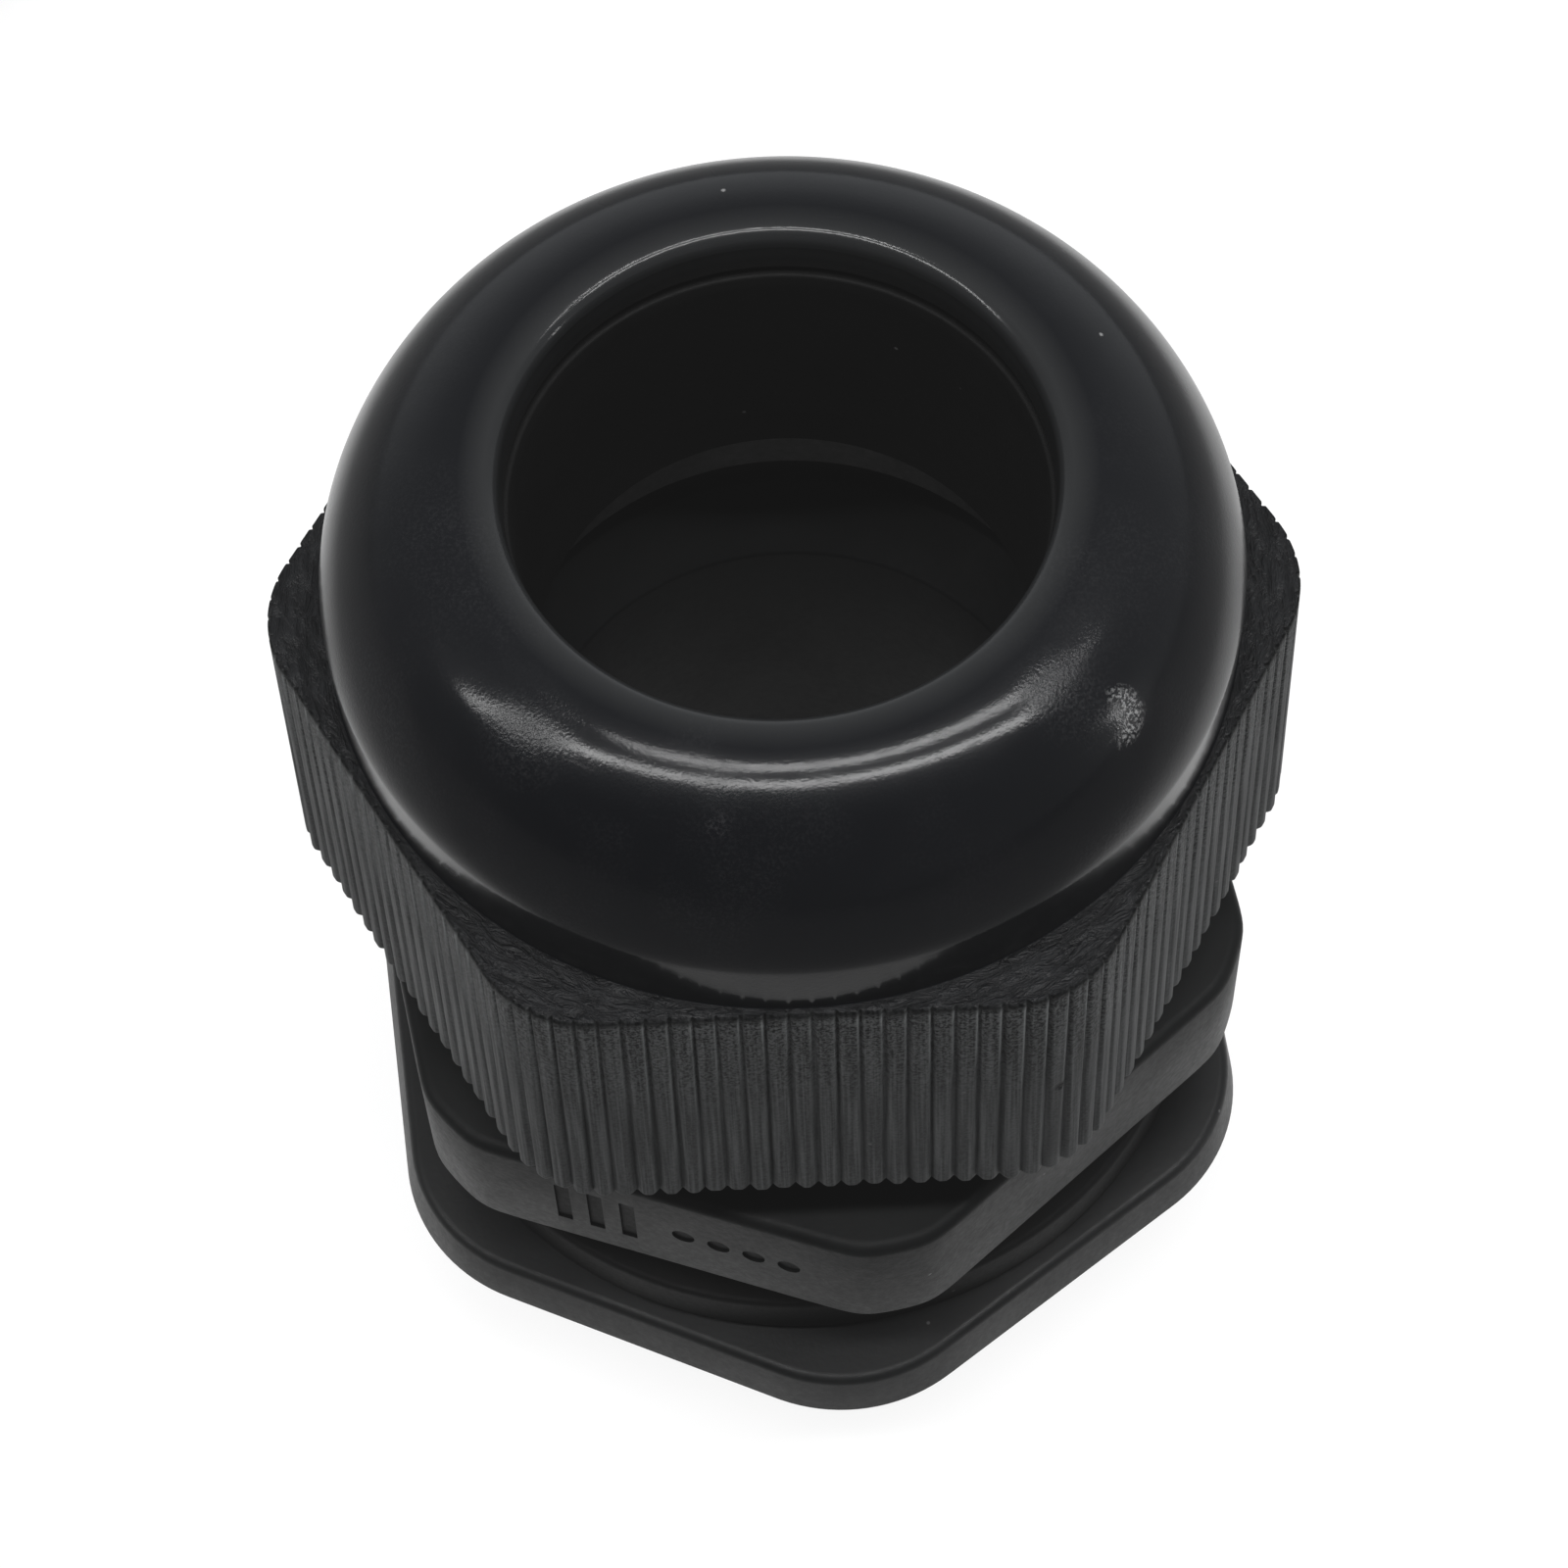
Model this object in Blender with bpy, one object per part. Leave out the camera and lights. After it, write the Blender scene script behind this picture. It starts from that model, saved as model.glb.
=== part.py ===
"""Nylon cable gland for a 3/4 inch tapered entry thread, standing on its entry end.

Units are metres and +Z runs along the gland, from the entry end (z = 0) to the clamping nut.
Each physical piece is one named object: gland_body, clamp_insert, seal_grommet, dome_nut,
gasket and locknut. Both nuts turn about the Z axis, where every object has its origin.
"""

import math

import bmesh
import bpy

# Heights above the entry end
COLLAR_BOTTOM = 0.0138
COLLAR_TOP = 0.0201
NUT_BOTTOM = 0.0241
TUBE_TOP = 0.0315
SHOULDER = 0.0382
DOME_WIDEST = 0.0408
LIP_TOP = 0.0463
DOME_TOP = 0.0467

# Cable passage
BORE_RADIUS = 0.0099
INSERT_BORE_RADIUS = 0.01205
INSERT_BORE_FLOOR = 0.0269
BORE_CONE_START = 0.0248

# Hexagonal collar, its corners turned off by a cylinder
COLLAR_FLATS = 0.03226
COLLAR_CORNER_RADIUS = 0.01784
COLLAR_TURN = math.radians(-79.8)
COLLAR_TOP_BEVEL = 0.0004
COLLAR_BOTTOM_BEVEL = 0.00025
MARK_DEPTH = 0.0002
MARK_BAR_SIZE = (0.0006, 0.0030)
MARK_PIP_RADIUS = 0.00045
MARK_BARS = (-0.0042, -0.0029, -0.0016)
MARK_PIPS = (0.0006, 0.0020, 0.0034, 0.0048)

# Threads: radii of root and crest, half widths of the ridge there, and the rise of one turn
UPPER_PITCH = 0.0020
UPPER_ROOT = 0.0134
UPPER_CREST = 0.0143
UPPER_CREST_HALF = 0.0002
UPPER_START = 0.0209
UPPER_TURNS = 5.0
ENTRY_PITCH = 0.0254 / 14
ENTRY_ROOT = 0.0121
ENTRY_CREST = 0.0133
ENTRY_CREST_HALF = 0.00012
ENTRY_START = 0.0011
ENTRY_TURNS = 5.5
ENTRY_TAPER = 1 / 32
FLANK_SLOPE = math.tan(math.radians(30))
FLANK_GAP = 0.0002
FADE_TURNS = 0.3
RIDGE_SINK = 0.0001
THREAD_STEPS = 20
THREAD_PHASE = math.radians(2.6)

# Dome nut
NUT_FLATS = 0.0330
NUT_DRAFT = 0.0003
NUT_CORNER_RADIUS = 0.0045
NUT_RIBS = 138
RIB_DEPTH = 0.0003
RIB_SHAPE = ((0.0, 1.0), (0.24, 0.0), (0.76, 0.0))
RIB_END = 0.0005
DOME_RADIUS = 0.01621
DOME_TOP_RADIUS = 0.0106
DOME_EXPONENT = 1.7
NECK_RADIUS = 0.0160
OPENING_RADIUS = 0.00952
LIP_BOTTOM = 0.0449
NUT_THREAD_MINOR = 0.01375
NUT_THREAD_MAJOR = 0.0146
NUT_RELIEF = (0.0336, 0.0356, 0.0147)
NUT_CONE_BOTTOM = (0.0137, 0.0362)
NUT_CONE_TOP = 0.01175

# Clamp insert
SLEEVE_BOTTOM = 0.0302
CAGE_COLLAR = (0.0348, 0.0360)
CAGE_COLLAR_RADIUS = 0.0132
CAGE_TOP = 0.0444
CAGE_INNER = 0.0107
CAGE_SLEEVE_RADIUS = 0.0118
CAGE_LIP = (0.0330, 0.0341, 0.0099)
FINGER_ROOT_RADIUS = 0.0127
FINGER_TIP_RADIUS = 0.0115
FINGER_SLOTS = 14
SLOT_WIDTH = 0.0009
SLOT_FLOOR = 0.0368

# Seal
SEAL_BOTTOM = 0.0344
SEAL_TOP = 0.0446
SEAL_RADIUS = 0.01055
SEAL_BORE = 0.0092
SEAL_BORE_LOW = 0.0090
SEAL_ROUND = 0.0004

# Gasket and locknut
GASKET_BOTTOM = 0.0086
GASKET_TOP = 0.0109
GASKET_RADIUS = 0.0160
GASKET_BORE = 0.0136
GASKET_BEVEL = 0.0002
LOCKNUT_BOTTOM = 0.0035
LOCKNUT_WALL_BOTTOM = 0.0060
LOCKNUT_TOP = 0.0083
LOCKNUT_FLATS = 0.0342
LOCKNUT_CORNER_RADIUS = 0.0070
LOCKNUT_TURN = math.radians(-84.4)
LOCKNUT_ROUND = 0.0010
LOCKNUT_THREAD_MINOR = 0.0126
LOCKNUT_THREAD_MAJOR = 0.01355

ROUND_STEPS = 40
BEYOND = 0.002


def clear_scene():
    for obj in list(bpy.data.objects):
        bpy.data.objects.remove(obj, do_unlink=True)


def make_material(name, colour, roughness):
    """An opaque, non-metallic plastic or rubber."""
    material = bpy.data.materials.new(name)
    material.use_nodes = True
    shader = material.node_tree.nodes["Principled BSDF"]
    shader.inputs["Base Color"].default_value = (*colour, 1.0)
    shader.inputs["Roughness"].default_value = roughness
    shader.inputs["Metallic"].default_value = 0.0
    return material


def make_object(name, mesh_data, material=None):
    """Turns a bmesh into an object on the Z axis, facing outwards and smooth where it curves."""
    bmesh.ops.recalc_face_normals(mesh_data, faces=mesh_data.faces)
    mesh = bpy.data.meshes.new(name)
    mesh_data.to_mesh(mesh)
    mesh_data.free()
    mesh.shade_smooth()
    mesh.set_sharp_from_angle(angle=math.radians(32))
    if material:
        mesh.materials.append(material)
    obj = bpy.data.objects.new(name, mesh)
    bpy.context.scene.collection.objects.link(obj)
    return obj


def revolved(name, profile, material=None, steps=ROUND_STEPS):
    """Spins a closed outline of (radius, height) points about the Z axis."""
    solid = bmesh.new()
    points = [solid.verts.new((radius, 0, height)) for radius, height in profile]
    sides = zip(points, points[1:] + points[:1])
    edges = [solid.edges.new(side) for side in sides if side[0].co.x or side[1].co.x]
    bmesh.ops.spin(
        solid,
        geom=points + edges,
        cent=(0, 0, 0),
        axis=(0, 0, 1),
        angle=math.tau,
        steps=steps,
        use_merge=True,
    )
    bmesh.ops.remove_doubles(solid, verts=solid.verts, dist=1e-7)
    bmesh.ops.dissolve_degenerate(solid, edges=solid.edges, dist=1e-7)
    return make_object(name, solid, material)


def lofted(name, rings, material=None):
    """Joins rings of equally many points with quads, and closes both ends."""
    solid = bmesh.new()
    rows = [[solid.verts.new(point) for point in ring] for ring in rings]
    for low, high in zip(rows, rows[1:]):
        for i in range(len(low)):
            j = (i + 1) % len(low)
            solid.faces.new((low[i], low[j], high[j], high[i]))
    solid.faces.new(reversed(rows[0]))
    solid.faces.new(rows[-1])
    return make_object(name, solid, material)


def add_boolean(obj, other, operation):
    """Joins other to obj or cuts it away, and keeps other as a hidden helper."""
    modifier = obj.modifiers.new(f"{operation.lower()}_{other.name}", "BOOLEAN")
    modifier.operation = operation
    modifier.solver = "EXACT"
    modifier.object = other
    other.hide_render = True
    other.display_type = "WIRE"


def helical_ridge(name, root, crest, crest_half, pitch, start, turns, fade=0.0, taper=0.0):
    """A thread ridge, wedge-shaped in section, that reaches a little below its root radius.

    Over fade turns at each end it sinks in, and taper narrows it below the collar.
    """
    buried = root - RIDGE_SINK
    buried_half = crest_half + (crest - buried) * FLANK_SLOPE
    section = (
        (buried, -buried_half),
        (crest, -crest_half),
        (crest, crest_half),
        (buried, buried_half),
    )
    solid = bmesh.new()
    first = 1 if fade else 0
    last = round(turns * THREAD_STEPS) - first
    rows = []
    for step in range(first, last + 1):
        turn = step / THREAD_STEPS
        angle = THREAD_PHASE + math.tau * turn
        share = min(1.0, turn / fade, (turns - turn) / fade) if fade else 1.0
        row = []
        for radius, offset in section:
            height = start + pitch * turn + offset
            reach = buried + (radius - buried) * share - (COLLAR_BOTTOM - height) * taper
            row.append(solid.verts.new((reach * math.cos(angle), reach * math.sin(angle), height)))
        rows.append(row)
    for low, high in zip(rows, rows[1:]):
        for i in range(len(section)):
            j = (i + 1) % len(section)
            solid.faces.new((low[i], low[j], high[j], high[i]))
    solid.faces.new(reversed(rows[0]))
    solid.faces.new(rows[-1])
    return make_object(name, solid)


def cut_corner_hexagon(flats, corner_radius, turn, inset=0.0):
    """A hexagon whose corners a cylinder has turned off. A corner lies at the angle turn."""
    half = flats / 2 - inset
    radius = corner_radius - inset
    reach = math.radians(30) - math.acos(half / radius)
    points = []
    for corner in range(6):
        middle = turn + corner * math.tau / 6
        for share in (-1, -1 / 3, 1 / 3, 1):
            angle = middle + reach * share
            points.append((radius * math.cos(angle), radius * math.sin(angle)))
    return points


def rounded_hexagon(flats, corner_radius, turn, inset=0.0, corner_steps=6):
    """A hexagon with round corners. A corner lies at the angle turn."""
    centre_distance = (flats / 2 - corner_radius) / math.cos(math.radians(30))
    radius = corner_radius - inset
    points = []
    for corner in range(6):
        middle = turn + corner * math.tau / 6
        for step in range(corner_steps + 1):
            angle = middle + math.radians(60 * step / corner_steps - 30)
            x = centre_distance * math.cos(middle) + radius * math.cos(angle)
            y = centre_distance * math.sin(middle) + radius * math.sin(angle)
            points.append((x, y))
    return points


def hexagon_edge(distance, flats, corner_radius):
    """The point and outward direction this far round a rounded hexagon with corners on +X and -X."""
    straight = (flats - 2 * corner_radius) * math.tan(math.radians(30))
    arc = corner_radius * math.tau / 6
    side, along = divmod(distance, straight + arc)
    normal = math.radians(60 * side + 30)
    if along <= straight:
        offset = along - straight / 2
        x = flats / 2 * math.cos(normal) - offset * math.sin(normal)
        y = flats / 2 * math.sin(normal) + offset * math.cos(normal)
        return x, y, normal
    corner = math.radians(60 * side + 60)
    centre_distance = (flats / 2 - corner_radius) / math.cos(math.radians(30))
    normal += (along - straight) / corner_radius
    x = centre_distance * math.cos(corner) + corner_radius * math.cos(normal)
    y = centre_distance * math.sin(corner) + corner_radius * math.sin(normal)
    return x, y, normal


def ribbed_hexagon(flats, depth_share, inset=0.0):
    """A rounded hexagon with vertical ribs. At a depth share of 0 it is plain, at groove depth."""
    side = (flats - 2 * NUT_CORNER_RADIUS) * math.tan(math.radians(30))
    around = 6 * (side + NUT_CORNER_RADIUS * math.tau / 6)
    points = []
    for rib in range(NUT_RIBS):
        for place, sunk in RIB_SHAPE:
            x, y, normal = hexagon_edge((rib + place) / NUT_RIBS * around, flats, NUT_CORNER_RADIUS)
            depth = RIB_DEPTH * (1 - depth_share * (1 - sunk)) + inset
            points.append((x - depth * math.cos(normal), y - depth * math.sin(normal)))
    return points


def at_height(points, height):
    return [(x, y, height) for x, y in points]


def bored(name, obj, profile):
    """Cuts a revolved hole out of obj."""
    add_boolean(obj, revolved(name, profile), "DIFFERENCE")


def add_marks(body):
    """Sinks a neutral row of bars and pips into one flat of the collar."""
    normal = COLLAR_TURN - math.radians(30)
    middle = (COLLAR_BOTTOM + COLLAR_TOP) / 2
    surface = COLLAR_FLATS / 2
    marks = bmesh.new()
    for place in MARK_BARS:
        box = bmesh.ops.create_cube(marks, size=1)["verts"]
        bmesh.ops.scale(marks, verts=box, vec=(2 * MARK_DEPTH, *MARK_BAR_SIZE))
        bmesh.ops.translate(marks, verts=box, vec=(surface, place, middle))
    for place in MARK_PIPS:
        pip = bmesh.ops.create_cone(
            marks,
            cap_ends=True,
            segments=12,
            radius1=MARK_PIP_RADIUS,
            radius2=MARK_PIP_RADIUS,
            depth=2 * MARK_DEPTH,
        )["verts"]
        for vert in pip:
            x, y, z = vert.co
            vert.co = (surface + z, place + x, middle + y)
    cutter = make_object("collar_marks", marks)
    cutter.rotation_euler.z = normal
    add_boolean(body, cutter, "DIFFERENCE")


def build_body(material):
    """The one-piece body: tapered entry thread, hexagonal collar and upper threaded tube."""
    rings = [
        (COLLAR_BOTTOM, COLLAR_BOTTOM_BEVEL),
        (COLLAR_BOTTOM + COLLAR_BOTTOM_BEVEL, 0.0),
        (COLLAR_TOP - COLLAR_TOP_BEVEL, 0.0),
        (COLLAR_TOP, COLLAR_TOP_BEVEL),
    ]
    body = lofted(
        "gland_body",
        [
            at_height(
                cut_corner_hexagon(COLLAR_FLATS, COLLAR_CORNER_RADIUS, COLLAR_TURN, inset), height
            )
            for height, inset in rings
        ],
        material,
    )
    root_low = ENTRY_ROOT - COLLAR_BOTTOM * ENTRY_TAPER
    stem = revolved(
        "stem",
        [
            (0, 0),
            (root_low - 0.0005, 0),
            (root_low, 0.0005),
            (ENTRY_ROOT, COLLAR_BOTTOM + BEYOND),
            (UPPER_ROOT, COLLAR_BOTTOM + BEYOND),
            (UPPER_ROOT, TUBE_TOP - 0.0004),
            (UPPER_ROOT - 0.0004, TUBE_TOP),
            (0, TUBE_TOP),
        ],
    )
    upper_thread = helical_ridge(
        "upper_thread",
        UPPER_ROOT,
        UPPER_CREST,
        UPPER_CREST_HALF,
        UPPER_PITCH,
        UPPER_START,
        UPPER_TURNS,
        fade=FADE_TURNS,
    )
    entry_thread = helical_ridge(
        "entry_thread",
        ENTRY_ROOT,
        ENTRY_CREST,
        ENTRY_CREST_HALF,
        ENTRY_PITCH,
        ENTRY_START,
        ENTRY_TURNS,
        fade=FADE_TURNS,
        taper=ENTRY_TAPER,
    )
    for piece in (stem, upper_thread, entry_thread):
        add_boolean(body, piece, "UNION")
    bored(
        "body_bore",
        body,
        [
            (0, -BEYOND),
            (BORE_RADIUS, -BEYOND),
            (BORE_RADIUS, BORE_CONE_START),
            (INSERT_BORE_RADIUS, INSERT_BORE_FLOOR),
            (INSERT_BORE_RADIUS, TUBE_TOP - 0.0004),
            (INSERT_BORE_RADIUS + 0.0004, TUBE_TOP),
            (INSERT_BORE_RADIUS + 0.0004, TUBE_TOP + BEYOND),
            (0, TUBE_TOP + BEYOND),
        ],
    )
    add_marks(body)


def dome_profile():
    """The dome's outline, from its neck on the shoulder to the edge of the cable opening."""
    profile = [(0, SHOULDER - 0.0010), (NECK_RADIUS, SHOULDER - 0.0010)]
    rise = DOME_WIDEST - SHOULDER
    for step in range(4):
        share = step / 4
        bulge = math.sin(share * math.pi / 2)
        radius = NECK_RADIUS + (DOME_RADIUS - NECK_RADIUS) * bulge
        profile.append((radius, SHOULDER + 0.0001 + (rise - 0.0001) * share))
    power = 2 / DOME_EXPONENT
    for step in range(11):
        angle = math.pi / 2 * step / 10
        radius = DOME_TOP_RADIUS + (DOME_RADIUS - DOME_TOP_RADIUS) * math.cos(angle) ** power
        height = DOME_WIDEST + (DOME_TOP - DOME_WIDEST) * math.sin(angle) ** power
        profile.append((radius, height))
    run = DOME_TOP_RADIUS - OPENING_RADIUS
    drop = DOME_TOP - LIP_TOP
    for step in range(1, 4):
        angle = math.pi / 2 * step / 3
        radius = DOME_TOP_RADIUS - run * math.sin(angle)
        profile.append((radius, DOME_TOP - drop * (1 - math.cos(angle))))
    profile.append((0, LIP_TOP))
    return profile


def build_dome_nut(material):
    """The clamping nut: ribbed skirt, dome, internal thread, clamping cone and opening lip."""
    wide = NUT_FLATS + 2 * NUT_DRAFT
    nut = lofted(
        "dome_nut",
        [
            at_height(ribbed_hexagon(wide, 0.0), NUT_BOTTOM),
            at_height(ribbed_hexagon(wide, 1.0), NUT_BOTTOM + RIB_END),
            at_height(ribbed_hexagon(NUT_FLATS, 1.0), SHOULDER),
        ],
        material,
    )
    add_boolean(nut, revolved("dome", dome_profile()), "UNION")
    relief_low, relief_high, relief_radius = NUT_RELIEF
    cone_radius, cone_height = NUT_CONE_BOTTOM
    bored(
        "nut_bore",
        nut,
        [
            (0, NUT_BOTTOM - BEYOND),
            (NUT_THREAD_MAJOR + 0.0002, NUT_BOTTOM - BEYOND),
            (NUT_THREAD_MAJOR + 0.0002, NUT_BOTTOM),
            (NUT_THREAD_MINOR, NUT_BOTTOM + 0.0010),
            (NUT_THREAD_MINOR, relief_low),
            (relief_radius, relief_low),
            (relief_radius, relief_high),
            (cone_radius, cone_height),
            (NUT_CONE_TOP, LIP_BOTTOM),
            (OPENING_RADIUS - 0.0001, LIP_BOTTOM),
            (OPENING_RADIUS - 0.0001, LIP_TOP - 0.0006),
            (OPENING_RADIUS, LIP_TOP),
            (OPENING_RADIUS, DOME_TOP + BEYOND),
            (0, DOME_TOP + BEYOND),
        ],
    )
    female_thread(
        nut,
        "nut_thread",
        (NUT_THREAD_MINOR, NUT_THREAD_MAJOR),
        (UPPER_CREST, UPPER_CREST_HALF, UPPER_PITCH),
        UPPER_START + UPPER_PITCH,
        5.75,
    )


def female_thread(nut, name, radii, male, start, turns):
    """Cuts a groove that leaves a running gap round the male ridge it turns on."""
    crest, crest_half, pitch = male
    minor, major = radii
    groove_half = crest_half - (major - crest) * FLANK_SLOPE + FLANK_GAP
    groove = helical_ridge(name, minor, major, groove_half, pitch, start, turns)
    add_boolean(nut, groove, "DIFFERENCE")


def build_clamp_insert(material):
    """The cage of fingers that the nut's cone closes round the seal."""
    lip_low, lip_high, lip_radius = CAGE_LIP
    collar_low, collar_high = CAGE_COLLAR
    cage = revolved(
        "clamp_insert",
        [
            (CAGE_INNER, SLEEVE_BOTTOM),
            (CAGE_SLEEVE_RADIUS, SLEEVE_BOTTOM),
            (CAGE_SLEEVE_RADIUS, collar_low),
            (CAGE_COLLAR_RADIUS, collar_low),
            (CAGE_COLLAR_RADIUS, collar_high),
            (FINGER_ROOT_RADIUS, collar_high + 0.0004),
            (FINGER_TIP_RADIUS, CAGE_TOP - 0.0003),
            (FINGER_TIP_RADIUS - 0.0003, CAGE_TOP),
            (CAGE_INNER, CAGE_TOP),
            (CAGE_INNER, lip_high),
            (lip_radius, lip_high),
            (lip_radius, lip_low),
            (CAGE_INNER, lip_low - 0.0004),
        ],
        material,
    )
    slots = bmesh.new()
    for slot in range(FINGER_SLOTS):
        box = bmesh.ops.create_cube(slots, size=1)["verts"]
        height = CAGE_TOP - SLOT_FLOOR + BEYOND
        bmesh.ops.scale(slots, verts=box, vec=(0.006, SLOT_WIDTH, height))
        bmesh.ops.translate(slots, verts=box, vec=(0.012, 0, SLOT_FLOOR + height / 2))
        angle = math.tau * slot / FINGER_SLOTS
        for vert in box:
            x, y, z = vert.co
            vert.co.x = x * math.cos(angle) - y * math.sin(angle)
            vert.co.y = x * math.sin(angle) + y * math.cos(angle)
    add_boolean(cage, make_object("finger_slots", slots), "DIFFERENCE")


def build_seal(material):
    """The rubber sleeve that grips and seals on the cable's sheath."""
    revolved(
        "seal_grommet",
        [
            (SEAL_BORE_LOW, SEAL_BOTTOM + SEAL_ROUND),
            (SEAL_BORE_LOW + SEAL_ROUND, SEAL_BOTTOM),
            (SEAL_RADIUS - SEAL_ROUND, SEAL_BOTTOM),
            (SEAL_RADIUS, SEAL_BOTTOM + SEAL_ROUND),
            (SEAL_RADIUS, SEAL_TOP - SEAL_ROUND),
            (SEAL_RADIUS - SEAL_ROUND, SEAL_TOP),
            (SEAL_BORE + SEAL_ROUND, SEAL_TOP),
            (SEAL_BORE, SEAL_TOP - SEAL_ROUND),
            (SEAL_BORE, SEAL_BOTTOM + 4 * SEAL_ROUND),
        ],
        material,
    )


def build_gasket(material):
    """The flat washer between the collar and the enclosure wall."""
    revolved(
        "gasket",
        [
            (GASKET_BORE, GASKET_BOTTOM),
            (GASKET_RADIUS - GASKET_BEVEL, GASKET_BOTTOM),
            (GASKET_RADIUS, GASKET_BOTTOM + GASKET_BEVEL),
            (GASKET_RADIUS, GASKET_TOP - GASKET_BEVEL),
            (GASKET_RADIUS - GASKET_BEVEL, GASKET_TOP),
            (GASKET_BORE, GASKET_TOP),
        ],
        material,
    )


def build_locknut(material):
    """The soft-cornered locknut, with a rounded upper rim and a bevelled underside."""
    under = LOCKNUT_WALL_BOTTOM - LOCKNUT_BOTTOM
    rings = [(LOCKNUT_BOTTOM, under), (LOCKNUT_WALL_BOTTOM, 0.0)]
    for step in range(4):
        angle = math.pi / 2 * step / 3
        height = LOCKNUT_TOP - LOCKNUT_ROUND * (1 - math.sin(angle))
        rings.append((height, LOCKNUT_ROUND * (1 - math.cos(angle))))
    nut = lofted(
        "locknut",
        [
            at_height(
                rounded_hexagon(LOCKNUT_FLATS, LOCKNUT_CORNER_RADIUS, LOCKNUT_TURN, inset), height
            )
            for height, inset in rings
        ],
        material,
    )
    bored(
        "locknut_bore",
        nut,
        [
            (0, LOCKNUT_BOTTOM - BEYOND),
            (LOCKNUT_THREAD_MAJOR, LOCKNUT_BOTTOM - BEYOND),
            (LOCKNUT_THREAD_MAJOR, LOCKNUT_BOTTOM),
            (LOCKNUT_THREAD_MINOR, LOCKNUT_BOTTOM + 0.0008),
            (LOCKNUT_THREAD_MINOR, LOCKNUT_TOP - 0.0008),
            (LOCKNUT_THREAD_MAJOR, LOCKNUT_TOP),
            (LOCKNUT_THREAD_MAJOR, LOCKNUT_TOP + BEYOND),
            (0, LOCKNUT_TOP + BEYOND),
        ],
    )
    female_thread(
        nut,
        "locknut_thread",
        (LOCKNUT_THREAD_MINOR, LOCKNUT_THREAD_MAJOR),
        (ENTRY_CREST, ENTRY_CREST_HALF, ENTRY_PITCH),
        ENTRY_START + ENTRY_PITCH,
        3.75,
    )


def build_gland():
    clear_scene()
    nylon = make_material("matte_nylon", (0.028, 0.029, 0.030), 0.55)
    gloss = make_material("gloss_nylon", (0.016, 0.017, 0.020), 0.22)
    rubber = make_material("seal_rubber", (0.012, 0.012, 0.012), 0.70)
    build_body(nylon)
    build_clamp_insert(nylon)
    build_seal(rubber)
    build_dome_nut(gloss)
    build_gasket(rubber)
    build_locknut(nylon)


build_gland()
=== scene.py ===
"""Looks of the cable gland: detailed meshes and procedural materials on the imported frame, in metres."""

import math
import bmesh
import bpy
import numpy as np
from mathutils import Matrix, Vector


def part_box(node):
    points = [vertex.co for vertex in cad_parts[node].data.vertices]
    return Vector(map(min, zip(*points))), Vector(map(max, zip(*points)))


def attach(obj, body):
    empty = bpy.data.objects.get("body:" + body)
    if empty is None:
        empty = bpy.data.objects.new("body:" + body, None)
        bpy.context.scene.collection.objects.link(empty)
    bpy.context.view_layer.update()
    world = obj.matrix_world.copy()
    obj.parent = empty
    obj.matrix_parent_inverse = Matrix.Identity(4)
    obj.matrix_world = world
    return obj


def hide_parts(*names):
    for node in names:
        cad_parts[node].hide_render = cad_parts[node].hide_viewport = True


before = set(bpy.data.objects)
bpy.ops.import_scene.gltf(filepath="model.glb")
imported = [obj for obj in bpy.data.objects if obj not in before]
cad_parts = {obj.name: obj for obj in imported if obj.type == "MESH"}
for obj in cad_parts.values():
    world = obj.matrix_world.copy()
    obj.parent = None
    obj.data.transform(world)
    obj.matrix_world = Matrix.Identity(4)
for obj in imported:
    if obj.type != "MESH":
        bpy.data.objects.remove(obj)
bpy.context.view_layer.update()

MM = 0.001

# Heights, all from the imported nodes
BODY_LOW, TUBE_TOP = (corner[2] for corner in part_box("gland_body"))
NUT_LOW, NUT_HIGH = (corner[2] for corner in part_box("dome_nut"))
CAGE_LOW, CAGE_HIGH = (corner[2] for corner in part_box("clamp_insert"))
SEAL_LOW, SEAL_HIGH = (corner[2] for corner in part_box("seal_grommet"))
GASKET_LOW, GASKET_HIGH = (corner[2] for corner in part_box("gasket"))
LOCK_LOW, LOCK_HIGH = (corner[2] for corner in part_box("locknut"))
COLLAR_LOW = BODY_LOW + 13.8 * MM
COLLAR_HIGH = BODY_LOW + 20.1 * MM
SHOULDER = NUT_HIGH - 8.5 * MM
NUT_THREAD_TOP = NUT_LOW + 9.5 * MM
FLOOR = BODY_LOW - 0.02 * MM

# Skirt of the clamping nut
NUT_FLATS = 33.0 * MM
NUT_DRAFT = 0.3 * MM
NUT_CORNER = 4.5 * MM
NUT_RIBS = 138
RIB_DEPTH = 0.24 * MM
RIB_COLUMNS = 16
RIB_SEED = 7
RIB_END = 0.30 * MM
FINGERTIP = 0.30 * MM
FOOT_BEVEL = 0.30 * MM

# Rows of the skirt in millimetres: how far over its foot, and (drop, inset) of its worn upper edge
FOOT_ROWS = (0, 0.02, 0.05, 0.10, 0.16, 0.23, 0.30, 0.38, 0.48, 0.60)
WALL_ROWS = 13
WORN_EDGE = ((0.10, 0.01), (0.04, 0.03), (0.0, 0.08))

# Painted highlight along a rib's right edge: its place and width as shares of the rib
EDGE_PLACE = 0.87
EDGE_WIDTH = 0.08

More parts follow.
